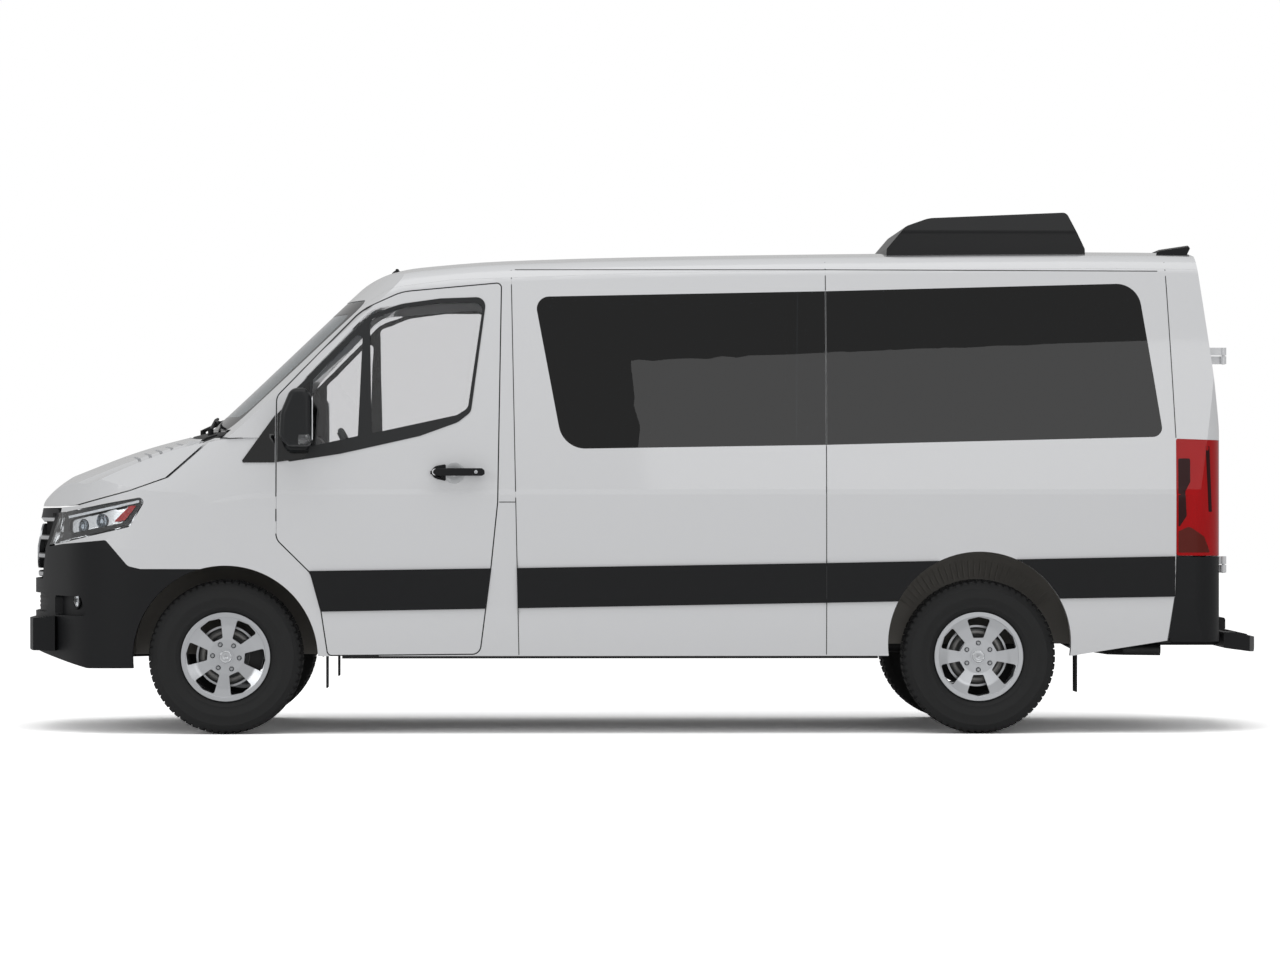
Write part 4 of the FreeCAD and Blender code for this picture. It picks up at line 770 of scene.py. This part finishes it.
# Vacuum plating on plastic is a little softer than chromed metal.
vacuum_chrome = finish("vacuum_plated_chrome", "#c9cbcd", 0.16, Metallic=1.0)
FOG_TOP = 0.75
fit(skin_copy("headlamp_bowl", "front_lamps", vacuum_chrome, heart_x=-1.9, depth=0.034,
              keep=lambda point: point.z > FOG_TOP), "body")
fit(skin_copy("tail_lamp_bowl", "tail_lamps", vacuum_chrome, heart_x=2.1, depth=0.030), "body")

# In the headlamp: a black bezel, a light guide along its upper edge, two lens units and a red side reflector.
# The bezel is satin, the guide is milky, the units have a wet gloss and the reflector is a clear bright red.
lamp_black = finish("lamp_bezel_black", "#0d0e10", 0.35)
reflex_red = finish("reflex_red_acrylic", "#b5262b", 0.12)
opal = finish("opal_light_guide", "#eef1f4", 0.3)
bulb_glass = finish("lens_unit_glass", "#9aa2aa", 0.05, Metallic=0.6)
LAMP_EDGE = rounded([(-2.838, 1.072, 0.01), (-2.600, 1.120, 0.2), (-2.430, 1.151, 0.018),
                     (-2.513, 1.012, 0.026), (-2.858, 0.934, 0.01)])
BEZEL_HOLE = rounded([(-2.812, 1.038, 0.02), (-2.620, 1.086, 0.1), (-2.476, 1.116, 0.02),
                      (-2.545, 1.026, 0.02), (-2.815, 0.970, 0.02)])
GUIDE = line_along([(-2.826, 1.052), (-2.700, 1.078), (-2.580, 1.104), (-2.462, 1.132)], 0.012)
REFLECTOR = rounded([(-2.590, 1.028, 0.004), (-2.532, 1.040, 0.004), (-2.474, 1.112, 0.004),
                     (-2.512, 1.108, 0.004)])
# Their lifts are below zero, which puts them behind the lens's face.
LAMP_PARTS = (
    ("headlamp_bezel", LAMP_EDGE, [BEZEL_HOLE], -0.024, lamp_black),
    ("light_guide", GUIDE, [], -0.010, opal),
    ("side_reflector", REFLECTOR, [], -0.008, reflex_red),
)
# Each lens unit is an (x, z, radius); its profile is in radii, and it faces a little ahead of the lens.
LENS_UNITS = ((-2.760, 1.008, 0.030), (-2.660, 1.036, 0.028))
UNIT_SINK = 0.030
UNIT_LEAN = Vector((-0.4, 0, 0))
UNIT_PROFILE = [(1.3, -0.2), (1.3, 0.0), (1.0, 0.32), (0.96, 0.13), (0.9, 0.35), (0.6, 0.6), (0.2, 0.7),
                (0.01, 0.71), (0.01, -0.2)]
lamp_skin = surface_of("front_lamps")
for side in SIDES:
    for label, outline, holes, lift, material in LAMP_PARTS:
        fit(laid(label + "_" + side, outline, lamp_skin, side, material, thick=0.002, lift=lift, step=0.015,
                 holes=holes), "body")
    for number, (x, z, radius) in enumerate(LENS_UNITS):
        found, normal = met(lamp_skin, side, x, z)
        profile = [(at * radius, -deep * radius) for at, deep in UNIT_PROFILE]
        unit = revolved(f"lens_unit_{side}_{number}", profile, bulb_glass, 40)
        way = (Vector((normal.x, normal.y, 0)) + UNIT_LEAN).normalized()
        fit(stand(unit, found - normal * UNIT_SINK, way), "body")

# Fog lamps in the bumper's face: a plated bowl behind each round lens, in a black trim ring.
FOG_PLACE = (0.700, 0.620)
FOG_BOWL = [(0.040, -0.010), (0.036, -0.008), (0.026, 0.006), (0.010, 0.012), (0.0005, 0.013),
            (0.0005, 0.016), (0.012, 0.015), (0.030, 0.008), (0.041, -0.006)]
FOG_TRIM = [(0.0435, -0.004), (0.0500, -0.001), (0.0500, 0.010), (0.0435, 0.010)]
BOWL_SINK = Vector((0.024, 0, 0))
TRIM_SINK = Vector((0.004, 0, 0))
AHEAD = (-1, 0, 0)
for side, sign in SIDES.items():
    found = met(lamp_skin, "front", FOG_PLACE[0] * sign, FOG_PLACE[1])[0]
    bowl = revolved("fog_bowl_" + side, FOG_BOWL, vacuum_chrome, 40)
    fit(stand(bowl, found + BOWL_SINK, AHEAD), "body")
    trim = revolved("fog_trim_" + side, FOG_TRIM, grained, 48)
    fit(stand(trim, found + TRIM_SINK, AHEAD), "body")

# At the bumper's corners, a round fog lamp sits in each side recess: ring, plated bowl and domed lens.
# It faces out along the recess, turned a little ahead.
CORNER_FOG = (-2.779, 0.646)
CORNER_LEAN = Vector((-0.25, 0, 0))
CORNER_PROUD = 0.002
CORNER_RING = [(0.0440, 0.006), (0.0440, -0.003), (0.0400, -0.006), (0.0345, -0.004), (0.0345, 0.006)]
CORNER_BOWL = [(0.0345, -0.0010), (0.0200, 0.0005), (0.0002, 0.0010), (0.0002, 0.0040), (0.0345, 0.0040)]
CORNER_LENS = [(0.0340, -0.0015), (0.0300, -0.0042), (0.0180, -0.0065), (0.0002, -0.0072),
               (0.0002, -0.0058), (0.0180, -0.0050), (0.0300, -0.0028), (0.0330, -0.0012)]
CORNER_PARTS = (
    ("ring", CORNER_RING, grained, "black_plastic"),
    ("bowl", CORNER_BOWL, vacuum_chrome, "clear_lens"),
    ("lens", CORNER_LENS, clear_lens, "clear_lens"),
)
bumper_skin = surface_of("front_bumper")
for side in SIDES:
    found, normal = met(bumper_skin, side, *CORNER_FOG)
    way = (normal + CORNER_LEAN).normalized()
    for label, profile, material, slot in CORNER_PARTS:
        lamp = revolved(f"corner_fog_{label}_{side}", profile, material, 40)
        fit(stand(lamp, found + normal * CORNER_PROUD, way), "body")

# In the tail lamp: unlit chambers, dark red and dark amber with a soft gloss, beside the bright column.
amber = finish("amber_acrylic", "#5c1a12", 0.25, Specular_IOR_Level=0.2)
dark_red = finish("unlit_red_acrylic", "#2c0406", 0.25, Specular_IOR_Level=0.2)
CHAMBERS = (
    ("stop_chamber", [(2.588, 1.340, 0.008), (2.646, 1.340, 0.008), (2.646, 1.225, 0.008),
                      (2.622, 1.180, 0.010), (2.628, 1.060, 0.020), (2.588, 1.000, 0.004)], dark_red),
    ("turn_chamber", [(2.588, 0.985, 0.004), (2.640, 1.010, 0.030), (2.715, 0.960, 0.020),
                      (2.745, 0.882, 0.006), (2.588, 0.882, 0.006)], amber),
    ("edge_chamber", [(2.722, 1.400, 0.004), (2.742, 1.400, 0.004), (2.756, 1.080, 0.004),
                      (2.738, 1.080, 0.004)], dark_red),
)
tail_skin = surface_of("tail_lamps")
for side in SIDES:
    for label, outline, material in CHAMBERS:
        fit(laid(label + "_" + side, rounded(outline), tail_skin, side, material, thick=0.0006, lift=0.0002,
                 step=0.02), "body")


# Grille: a moulded black frame clipped into the nose, with a bright strip on the front of each bar,
# upright fins behind them, and a bare round plate with a bright ring in the middle.
# Satin plating over plastic is a soft silver.
satin_silver = finish("satin_plated_plastic", "#b9bbbe", 0.22, Metallic=1.0)
# The fins, and the slats and the track further on, are unpainted and read as dark gaps.
dark_gap = finish("matt_black_plastic", "#101112", 0.6)
grille_skin = surface_of("grille")
BARS = (0.770, 0.860, 0.950, 1.040)
BADGE_Z = 0.905
BADGE_RADIUS = 0.112
STRIP_WIDTH = 0.017
STRIP_END = 0.004
BADGE_GAP = 0.006
FRAME_FOOT = 0.700
FRAME_HALF = 0.381
FRAME_SPREAD = 0.368


def grille_half(z):
    """Half the clear width inside the grille's frame at a height."""
    return FRAME_HALF + FRAME_SPREAD * (z - FRAME_FOOT)


def circle(a, b, radius, points=48):
    """A round outline."""
    angles = [2 * math.pi * at / points for at in range(points)]
    return [Vector((a + radius * math.cos(angle), b + radius * math.sin(angle))) for angle in angles]


for number, z in enumerate(BARS):
    far = grille_half(z) - STRIP_END
    off = BADGE_RADIUS ** 2 - (z - BADGE_Z) ** 2
    if off < 0:
        runs = [(-far, far)]
    else:
        near = math.sqrt(off) + BADGE_GAP
        runs = [(-far, -near), (near, far)]
    for part, (start, end) in enumerate(runs):
        strip = line_along([(start, z), (end, z)], STRIP_WIDTH)
        fit(laid(f"grille_strip_{number}_{part}", strip, grille_skin, "front", satin_silver, thick=0.003),
            "body")
fit(laid("badge_plate", circle(0, BADGE_Z, 0.106), grille_skin, "front", gloss_black, thick=0.003),
    "body")
fit(laid("badge_ring", circle(0, BADGE_Z, 0.1115), grille_skin, "front", satin_silver, thick=0.008, step=0.02,
         holes=[circle(0, BADGE_Z, 0.099)]), "body")

BAR_REACH = 0.38
BAR_HALF = 0.014
FIN_STEP = 0.022
FIN_HALF = 0.0015
FIN_BEHIND = 0.016
FIN_DEPTH = 0.02
FIN_FOOT = 0.728
FIN_HEAD = 1.072


def bar_depth(y, z):
    """How far forward the bars lie at a place, from the lowest and the highest of them."""
    across = max(-BAR_REACH, min(BAR_REACH, y))
    low_x, high_x = (met(grille_skin, "front", across, bar)[0].x for bar in (BARS[0], BARS[-1]))
    share = (z - BARS[0]) / (BARS[-1] - BARS[0])
    return low_x + (high_x - low_x) * share


fins = bmesh.new()
levels = (FIN_FOOT,) + BARS + (FIN_HEAD,)
for low_z, high_z in zip(levels, levels[1:]):
    low_edge, high_edge = low_z + BAR_HALF * (low_z in BARS), high_z - BAR_HALF * (high_z in BARS)
    middle_z = (low_edge + high_edge) / 2
    fins_a_side = int(grille_half(middle_z) / FIN_STEP)
    for at in range(-fins_a_side, fins_a_side + 1):
        y = at * FIN_STEP
        x = bar_depth(y, middle_z) + FIN_BEHIND
        box_mesh(fins, (x, y - FIN_HALF, low_edge), (x + FIN_DEPTH, y + FIN_HALF, high_edge))
bmesh.ops.recalc_face_normals(fins, faces=fins.faces)
fit(from_bmesh("grille_fins", fins, dark_gap), "body")

# The bumper's air intake: three slats, moulded in one with it, cross the opening.
SLAT_HEIGHTS = (0.608, 0.630, 0.652)
SLAT_HALF = 0.47
for number, z in enumerate(SLAT_HEIGHTS):
    slat = line_along([(-SLAT_HALF, z), (SLAT_HALF, z)], 0.010)
    fit(laid(f"intake_slat_{number}", slat, bumper_skin, "front", dark_gap, thick=0.002),
        "body")


# Windscreen: laminated glass, bonded into the body, with a black ceramic band fired on round its edge.
# The band is glossy and hides the bond.
frit = finish("fired_black_ceramic", "#07080a", 0.12, Specular_IOR_Level=0.15)
SCREEN_EDGE = rounded([(-0.842, 1.478, 0.06), (0.842, 1.478, 0.06), (0.724, 2.110, 0.08),
                       (-0.724, 2.110, 0.08)])
SCREEN_CLEAR = rounded([(-0.790, 1.545, 0.06), (0.790, 1.545, 0.06), (0.680, 2.050, 0.07),
                        (-0.680, 2.050, 0.07)])
fit(laid("screen_band", SCREEN_EDGE, surface_of("windshield"), "front", frit, thick=0.001,
         holes=[SCREEN_CLEAR]), "body")


# Seats: moulded foam in a stretched woven cover, on the folded side plates that stay as solids.
# Cushion, back and head restraint are puffed out by cloth under pressure, held down along the sewn seams.
SEAM_HALF = 0.012


def near_to(value, seam, reach=SEAM_HALF):
    """Whether a measure lies within reach of a seam."""
    return abs(value - seam) < reach


# Each padded piece: its outline from the side, half its width, and the rule that says where its seams are.
SEAT_FOAM = {
    "cushion": (
        [(0.000, 0.968, 0.025), (-0.002, 1.046, 0.035), (0.415, 1.030, 0.020), (0.431, 0.972, 0.020)], 0.230,
        lambda point: near_to(abs(point.y), 0.150) and point.z > 1.0 or near_to(point.x, 0.09)),
    "back": (
        [(0.452, 0.985, 0.025), (0.441, 1.055, 0.025), (0.503, 1.485, 0.035), (0.581, 1.485, 0.035),
         (0.543, 0.985, 0.025)], 0.228,
        lambda point: near_to(abs(point.y), 0.145) or near_to(point.z, 1.29) and abs(point.y) < 0.150),
    "head_restraint": (
        [(0.512, 1.512, 0.025), (0.535, 1.674, 0.030), (0.592, 1.674, 0.025), (0.578, 1.512, 0.020)], 0.128,
        lambda point: near_to(abs(point.y), 0.122, 0.006)),
}
EVEN_MM = 20
SIM_FRAMES = 20
PUFF_MAX = 0.009
# Woven polyester is matt with a little sheen. Its threads are drawn coarser than real ones so that they
# show.
seat_fabric = finish("woven_seat_fabric", "#24282d", 0.85, grain_mm=1.8, depth_mm=0.35, Sheen_Weight=0.3)


def evaluated_mesh(piece):
    """The piece's mesh with its modifiers, as plain data."""
    depsgraph = bpy.context.evaluated_depsgraph_get()
    return bpy.data.meshes.new_from_object(piece.evaluated_get(depsgraph))


def shell_faces(count, rings=2):
    """The faces of a closed shell through rings of points: its two ends and the bands between the rings."""
    last = count * (rings - 1)
    faces = [tuple(range(count)), tuple(range(last + count - 1, last - 1, -1))]
    for base in range(0, last, count):
        for at in range(count):
            after = (at + 1) % count
            faces.append((base + at, base + after, base + count + after, base + count + at))
    return faces


def puffed(name, corners, half, sewn):
    """One padded block under its cover, with its seams held where they are."""
    outline = rounded(corners)
    block = [(point.x, y, point.y) for y in (-half, half) for point in outline]
    piece = mesh_object(name, block, shell_faces(len(outline)), seat_fabric)
    even = piece.modifiers.new("even", "REMESH")
    even.mode = "VOXEL"
    even.voxel_size = EVEN_MM / 1000
    piece.data = evaluated_mesh(piece)
    piece.modifiers.clear()
    start = [vertex.co.copy() for vertex in piece.data.vertices]
    seams = piece.vertex_groups.new(name="seams")
    seams.add([at for at, place in enumerate(start) if sewn(place)], 1.0, "REPLACE")
    cloth_cover = piece.modifiers.new("cover", "CLOTH")
    cover_settings = cloth_cover.settings
    cover_settings.vertex_group_mass = "seams"
    cover_settings.use_pressure = True
    cover_settings.uniform_pressure_force = 4
    cover_settings.effector_weights.gravity = 0
    for frame_number in range(1, SIM_FRAMES + 1):
        bpy.context.scene.frame_set(frame_number)
    piece.data = evaluated_mesh(piece)
    piece.modifiers.clear()
    for vertex, before in zip(piece.data.vertices, start):
        move = vertex.co - before
        if move.length > PUFF_MAX:
            vertex.co = before + move.normalized() * PUFF_MAX
    bpy.context.scene.frame_set(1)
    smoother = piece.modifiers.new("smoother", "SUBSURF")
    smoother.levels = smoother.render_levels = 1
    piece.data = evaluated_mesh(piece)
    piece.modifiers.clear()
    for face in piece.data.polygons:
        face.use_smooth = True
    return piece


# Two seats in front, then rows of three and a last row of four narrower ones: each is (x, y, share of width).
SEAT_PLACES = [(-1.320, -0.460, 1.0), (-1.320, 0.460, 1.0)]
FIRST_ROW = -0.480
ROW_PITCH = 0.800
ROWS = 4
THREE_ABREAST = (-0.620, -0.130, 0.620)
FOUR_ABREAST = (-0.620, -0.190, 0.240, 0.670)
NARROW = 0.400 / 0.480
for row in range(ROWS):
    spots, width = (FOUR_ABREAST, NARROW) if row == ROWS - 1 else (THREE_ABREAST, 1.0)
    SEAT_PLACES += [(FIRST_ROW + ROW_PITCH * row, y, width) for y in spots]
for label, (corners, half, sewn) in SEAT_FOAM.items():
    model = puffed(label + "_model", corners, half, sewn)
    for number, (x, y, width) in enumerate(SEAT_PLACES):
        mesh = model.data.copy()
        for vertex in mesh.vertices:
            vertex.co = Vector((vertex.co.x + x, vertex.co.y * width + y, vertex.co.z))
        piece = fit(linked(f"seat_{label}_{number}", mesh), "body")
        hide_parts("seats")
    bpy.data.objects.remove(model)

# Each head restraint stands on two plated steel posts that run down into the back.
POST_APART = 0.055
POST_RADIUS = 0.006
POST_FOOT = (0.540, 1.470)
POST_TOP = (0.548, 1.525)
posts = bmesh.new()
for x, y, width in SEAT_PLACES:
    for shift in (-POST_APART * width, POST_APART * width):
        foot, top = (Vector((x + ahead, y + shift, z)) for ahead, z in (POST_FOOT, POST_TOP))
        turned = (top - foot).to_track_quat("Z", "Y").to_matrix().to_4x4()
        turned.translation = (foot + top) / 2
        bmesh.ops.create_cone(posts, cap_ends=True, segments=16, radius1=POST_RADIUS, radius2=POST_RADIUS,
                              depth=(top - foot).length, matrix=turned)
fit(from_bmesh("restraint_posts", posts, chrome_ring), "body")


# Mirrors: a moulded shell on a sleeved arm, screwed to the door, with silvered glass behind and a clear
# marker lamp at its foot. The band along the door's foot is one node with them and is kept as it is.
def lofted(name, outline, levels, sign, material):
    """A closed shell through an outline at several (y, growth) levels, on one side of the van."""
    points = [(point.x, y * sign, point.y) for y, growth in levels for point in grown(outline, growth)]
    made = sharpen(mesh_object(name, points, shell_faces(len(outline), len(levels)), material), 50)
    for face in made.data.polygons:
        face.use_smooth = len(face.vertices) == 4
    return made


MIRROR_SHELL = rounded([(-1.779, 1.440, 0.060), (-1.772, 1.560, 0.100), (-1.722, 1.680, 0.050),
                        (-1.650, 1.681, 0.035), (-1.6205, 1.640, 0.040), (-1.6175, 1.397, 0.030),
                        (-1.735, 1.397, 0.040)])
SHELL_LEVELS = [(1.1700, -0.030), (1.1693, -0.024), (1.166, -0.015), (1.157, -0.007), (1.142, -0.002),
                (1.120, 0.0), (1.078, 0.0), (1.064, -0.003), (1.055, -0.010), (1.051, -0.022)]
MIRROR_GLASS = rounded([(1.072, 1.425, 0.025), (1.150, 1.425, 0.025), (1.152, 1.640, 0.030),
                        (1.070, 1.640, 0.030)])
GLASS_DEPTHS = (-1.6190, -1.6170)
ARM_SLEEVE = rounded([(-1.743, 1.382, 0.012), (-1.733, 1.443, 0.012), (-1.647, 1.443, 0.012),
                      (-1.647, 1.382, 0.012)])
SLEEVE_LEVELS = [(1.0615, -0.004), (1.0600, 0.000), (1.020, 0.001), (1.000, 0.005), (0.992, 0.012)]
MARKER_LAMP = rounded([(-1.682, 1.402, 0.010), (-1.684, 1.456, 0.012), (-1.626, 1.452, 0.010),
                       (-1.626, 1.404, 0.010)])
# The shell has a finer grain and a little more shine than the trim. Silvered glass is nearly a perfect
# mirror.
mirror_plastic = finish("fine_grained_mirror_shell", "#17191b", 0.42, grain_mm=0.9, depth_mm=0.04,
                        Specular_IOR_Level=0.35)
silvered = finish("silvered_glass", "#dfe3e6", 0.02, Metallic=1.0)
BAND_TOP = 1.2
for side, sign in SIDES.items():
    body = "front_door_" + side
    trim = "door_trim_" + side
    work = bmesh.new()
    work.from_mesh(nodes[trim].data)
    mirror = [vertex for vertex in work.verts if vertex.co.z > BAND_TOP]
    bmesh.ops.delete(work, geom=mirror, context="VERTS")
    band = from_bmesh("door_band_" + side, work, grained)
    shell = lofted("mirror_shell_" + side, MIRROR_SHELL, SHELL_LEVELS, sign, mirror_plastic)
    sleeve = lofted("mirror_sleeve_" + side, ARM_SLEEVE, SLEEVE_LEVELS, sign, mirror_plastic)
    plate = [(x, point.x * sign, point.y) for x in GLASS_DEPTHS for point in MIRROR_GLASS]
    glass_plate = mesh_object("mirror_glass_" + side, plate, shell_faces(len(MIRROR_GLASS)), silvered)
    sharpen(glass_plate, 40)
    lamp = laid("mirror_lamp_" + side, MARKER_LAMP, surface_over([shell.data]), side, clear_lens,
                thick=0.0012, step=0.01)
    for piece, slot in ((band, "black_plastic"), (shell, "black_plastic"), (sleeve, "black_plastic"),
                        (glass_plate, "black_plastic"), (lamp, "clear_lens")):
        fit(piece, body)
        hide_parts(trim)


# Door handles: a moulded black grip with a plated lock barrel at its rear, held through the door's skin.
# Behind it lies a shallow cup, drawn as painted shade: a crescent of black plastic paints the shadow at its
# front, and a dish of darker enamel paints the rest.
GRIP = rounded([(-1.043, 1.274, 0.012), (-1.020, 1.2925, 0.020), (-0.800, 1.2925, 0.012),
                (-0.786, 1.282, 0.010), (-0.786, 1.262, 0.008), (-0.800, 1.2555, 0.010),
                (-1.020, 1.2555, 0.020)])
GRIP_LEVELS = [(1.0550, -0.006), (1.0545, -0.003), (1.0525, 0.0), (1.0330, 0.0), (1.0270, -0.003)]
# The crescent is painted shadow: a black sheet where the front of the cup lies in shade.
CUP_SHADOW_CRESCENT = rounded([(-0.975, 1.312, 0.006), (-1.046, 1.300, 0.040), (-1.046, 1.246, 0.040),
                    (-0.975, 1.230, 0.006)])
BARREL = [(0.009, 0.0), (0.0085, -0.0015), (0.0002, -0.0018), (0.0002, 0.004), (0.009, 0.004)]
DISH = [(0.0525, -0.0004), (0.048, -0.0012), (0.044, -0.0006), (0.002, -0.0006), (0.002, 0.003),
        (0.0525, 0.003)]
LOCK_PLACE = (-0.828, 1.0545, 1.274)
DISH_X = -0.935
DISH_Z = 1.270
PANEL_Z = 1.205
# The same enamel as the panels, a shade darker: painted shade, for the cups and the plate's recess, which lie
# in shadow.
shaded = finish("shaded_cup_enamel", "#bdbfc1", 0.32, Coat_Weight=1.0, Coat_Roughness=0.05)
for side, sign in SIDES.items():
    door = "front_door_" + side
    outwards = (0, sign, 0)
    fit(lofted("handle_grip_" + side, GRIP, GRIP_LEVELS, sign, grained), door)
    barrel = revolved("lock_barrel_" + side, BARREL, satin_silver, 28)
    fit(stand(barrel, (LOCK_PLACE[0], LOCK_PLACE[1] * sign, LOCK_PLACE[2]), outwards), door)
    found = met(surface_of(door), side, DISH_X, PANEL_Z)[0]
    dish = revolved("handle_cup_" + side, DISH, shaded, 56)
    fit(stand(dish, (DISH_X, found.y, DISH_Z), outwards), door)
    panel_y = abs(found.y)
    shadow_crescent_levels = [(panel_y + 0.0045, -0.004), (panel_y + 0.003, 0.0), (panel_y - 0.003, 0.0)]
    fit(lofted("handle_crescent_" + side, CUP_SHADOW_CRESCENT, shadow_crescent_levels, sign, grained), door)

# Rubber lips round the front doors close the gap to the body, so that each joint reads as a dark line.
# Each is pushed on the door's edge and lies 9 mm below its skin.
DOOR_EDGE = rounded([(-1.795, 0.950, 0.060), (-1.795, 1.640, 0.060), (-1.390, 2.060, 0.250),
                     (-1.190, 2.150, 0.250), (-0.708, 2.194, 0.020), (-0.726, 1.128, 0.050),
                     (-0.760, 0.798, 0.080), (-0.812, 0.392, 0.040), (-1.545, 0.386, 0.020),
                     (-1.577, 0.600, 0.060), (-1.628, 0.785, 0.060)])
LIP_OUT = 0.0055
LIP_IN = -0.006
for side in SIDES:
    door = "front_door_" + side
    fit(laid("door_lip_" + side, grown(DOOR_EDGE, LIP_OUT), surface_of(door), side, seal_rubber, thick=0.003,
             lift=-0.012, step=0.05, holes=[grown(DOOR_EDGE, LIP_IN)]), door)


# Sliding door, on the passenger's side: it runs on a track under the windows and opens by a black pull.
# The door stays shut here, so the track is a dark slot between two painted lips.
TRACK_RUN = [Vector((0.900, 1.206)), Vector((2.490, 1.206))]
track_skin = surface_of("quarter_panels", "side_panel_right", "sliding_door")
fit(laid("track_slot", line_along(TRACK_RUN, 0.018), track_skin, "right", dark_gap, thick=0.0012, step=0.04),
    "body")
for label, shift in (("upper", 0.0135), ("lower", -0.0135)):
    lip = [point + Vector((0, shift)) for point in TRACK_RUN]
    fit(laid("track_lip_" + label, line_along(lip, 0.008), track_skin, "right", enamel, thick=0.004,
             step=0.04), "body")
SLIDE_PULL = rounded([(-0.560, 1.232, 0.020), (-0.566, 1.300, 0.020), (-0.535, 1.318, 0.014),
                      (-0.400, 1.300, 0.020), (-0.392, 1.268, 0.016), (-0.520, 1.240, 0.016)])
fit(laid("slide_pull", SLIDE_PULL, track_skin, "right", grained, thick=0.020, step=0.01),
    "body")
# Behind the pull, a flat disc of the darker enamel is painted shade, where the cup behind the pull lies in
# shadow.
PULL_CUP_SHADE = circle(-0.470, 1.283, 0.058)
fit(laid("slide_pull_dish", PULL_CUP_SHADE, track_skin, "right", shaded, thick=0.0012, lift=0.0002, step=0.02),
    "body")


# Roof: a line of sealer fills the gutter along each side, where the roof's skin is welded to the body.
# The moulded foot of an antenna is screwed down at the front.
GUTTER_RUN = [(-0.640, 2.262), (0.900, 2.262), (2.500, 2.256)]
for side in SIDES:
    fit(laid("roof_gutter_" + side, line_along(GUTTER_RUN, SEAM), flank, side, seam_sealer, thick=0.0006,
             lift=0.0001, step=0.05), "body")
ANTENNA_X = -1.235
found = met(surface_of("roof_panel", "cab_frames"), "top", ANTENNA_X, 0)[0]
ANTENNA_FOOT = [(0.0005, 0.004), (0.026, 0.004), (0.026, -0.002), (0.018, -0.010), (0.009, -0.016),
                (0.0075, -0.022), (0.0005, -0.024)]
antenna = revolved("antenna_foot", ANTENNA_FOOT, grained, 32)
fit(stand(antenna, found, (0, 0, 1)), "body")


# Rear: the doors carry a blank panel for the plate under a lamp bar, each half on its own door, and a rubber
# seal where they meet. A high brake lamp sits above them, and the step has a ribbed rubber tread.
DOOR_GAP = 0.008
SEAL_FROM_MIDDLE = 0.0035
rear_skin = surface_of("rear_door_left", "rear_door_right", "rear_frame", "rear_bumper")


def half_panel(sign, half, foot, top, radius):
    """One door's half of a panel that is centred where the doors meet, rounded at its outer corners."""
    return rounded([(DOOR_GAP * sign, foot, 0), (half * sign, foot, radius), (half * sign, top, radius),
                    (DOOR_GAP * sign, top, 0)])


# The plate's panel is the panels' enamel a shade darker: painted shade of the recess that it stands for.
for side, sign in SIDES.items():
    door = "rear_door_" + side
    panel = half_panel(sign, 0.290, 0.880, 1.040, 0.02)
    fit(laid("plate_panel_" + side, panel, rear_skin, "rear", shaded, thick=0.003, step=0.04),
        door)
    bar = half_panel(sign, 0.270, 1.062, 1.100, 0.012)
    fit(laid("plate_lamp_bar_" + side, bar, rear_skin, "rear", grained, thick=0.018), door)
    seal_run = [(SEAL_FROM_MIDDLE * sign, 0.600), (SEAL_FROM_MIDDLE * sign, 2.190)]
    fit(laid("rear_meeting_seal_" + side, line_along(seal_run, 0.003), rear_skin, "rear", seal_rubber,
             thick=0.001, lift=0.0002, step=0.05), door)
BRAKE_LAMP = rounded([(-0.150, 2.262, 0.006), (0.150, 2.262, 0.006), (0.150, 2.280, 0.006),
                      (-0.150, 2.280, 0.006)])
roof_end = surface_of("rear_frame", "roof_panel")
fit(laid("high_brake_lamp", BRAKE_LAMP, roof_end, "rear", red_lens, thick=0.004), "body")

# The step's tread: extruded rubber, matt and coarse, in ribs that run across the van.
tread_rubber = finish("ribbed_step_rubber", "#0c0d0e", 0.75, grain_mm=4, depth_mm=0.4)
RIBS = 5
RIB_START = 2.880
RIB_PITCH = 0.024
RIB_WIDTH = 0.012
RIB_HALF = 0.560
step_skin = surface_of("rear_step")
for number in range(RIBS):
    x = RIB_START + number * RIB_PITCH
    rib = line_along([(x, -RIB_HALF), (x, RIB_HALF)], RIB_WIDTH)
    fit(laid(f"step_rib_{number}", rib, step_skin, "top", tread_rubber, thick=0.004, step=0.04),
        "body")


# Wheel housings: pressed steel, with pleats in the inner wall that fan out round the axle and stiffen it.
# They are kept only over the wheel, where the housing closes round it.
PLEATS = 96
PLEAT_HALF = 0.004
PLEAT_RISE = 0.0035
PLEAT_INNER = 0.385
PLEAT_OUTER = 0.466
PLEAT_TAPER = 0.0015
HOUSING_WALL = 0.705
PLEAT_FLOOR = 0.60
pleat = bmesh.new()
box_mesh(pleat, (-PLEAT_HALF, -PLEAT_RISE, PLEAT_INNER), (PLEAT_HALF, PLEAT_RISE, PLEAT_OUTER), PLEAT_TAPER)
pleat_item = item_object("pleat", pleat)
for side, sign in SIDES.items():
    low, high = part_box("tyre_rear_" + side)
    middle = (low + high) / 2
    middle.y = sign * HOUSING_WALL
    ring = ring_of("housing_pleats_" + side, pleat_item, PLEATS, 0.0, liner, middle)
    work = bmesh.new()
    work.from_mesh(ring.data)
    hidden = [vertex for vertex in work.verts if vertex.co.z < PLEAT_FLOOR]
    bmesh.ops.delete(work, geom=hidden, context="VERTS")
    work.to_mesh(ring.data)
    work.free()
    fit(ring, "body")
bpy.data.objects.remove(pleat_item)
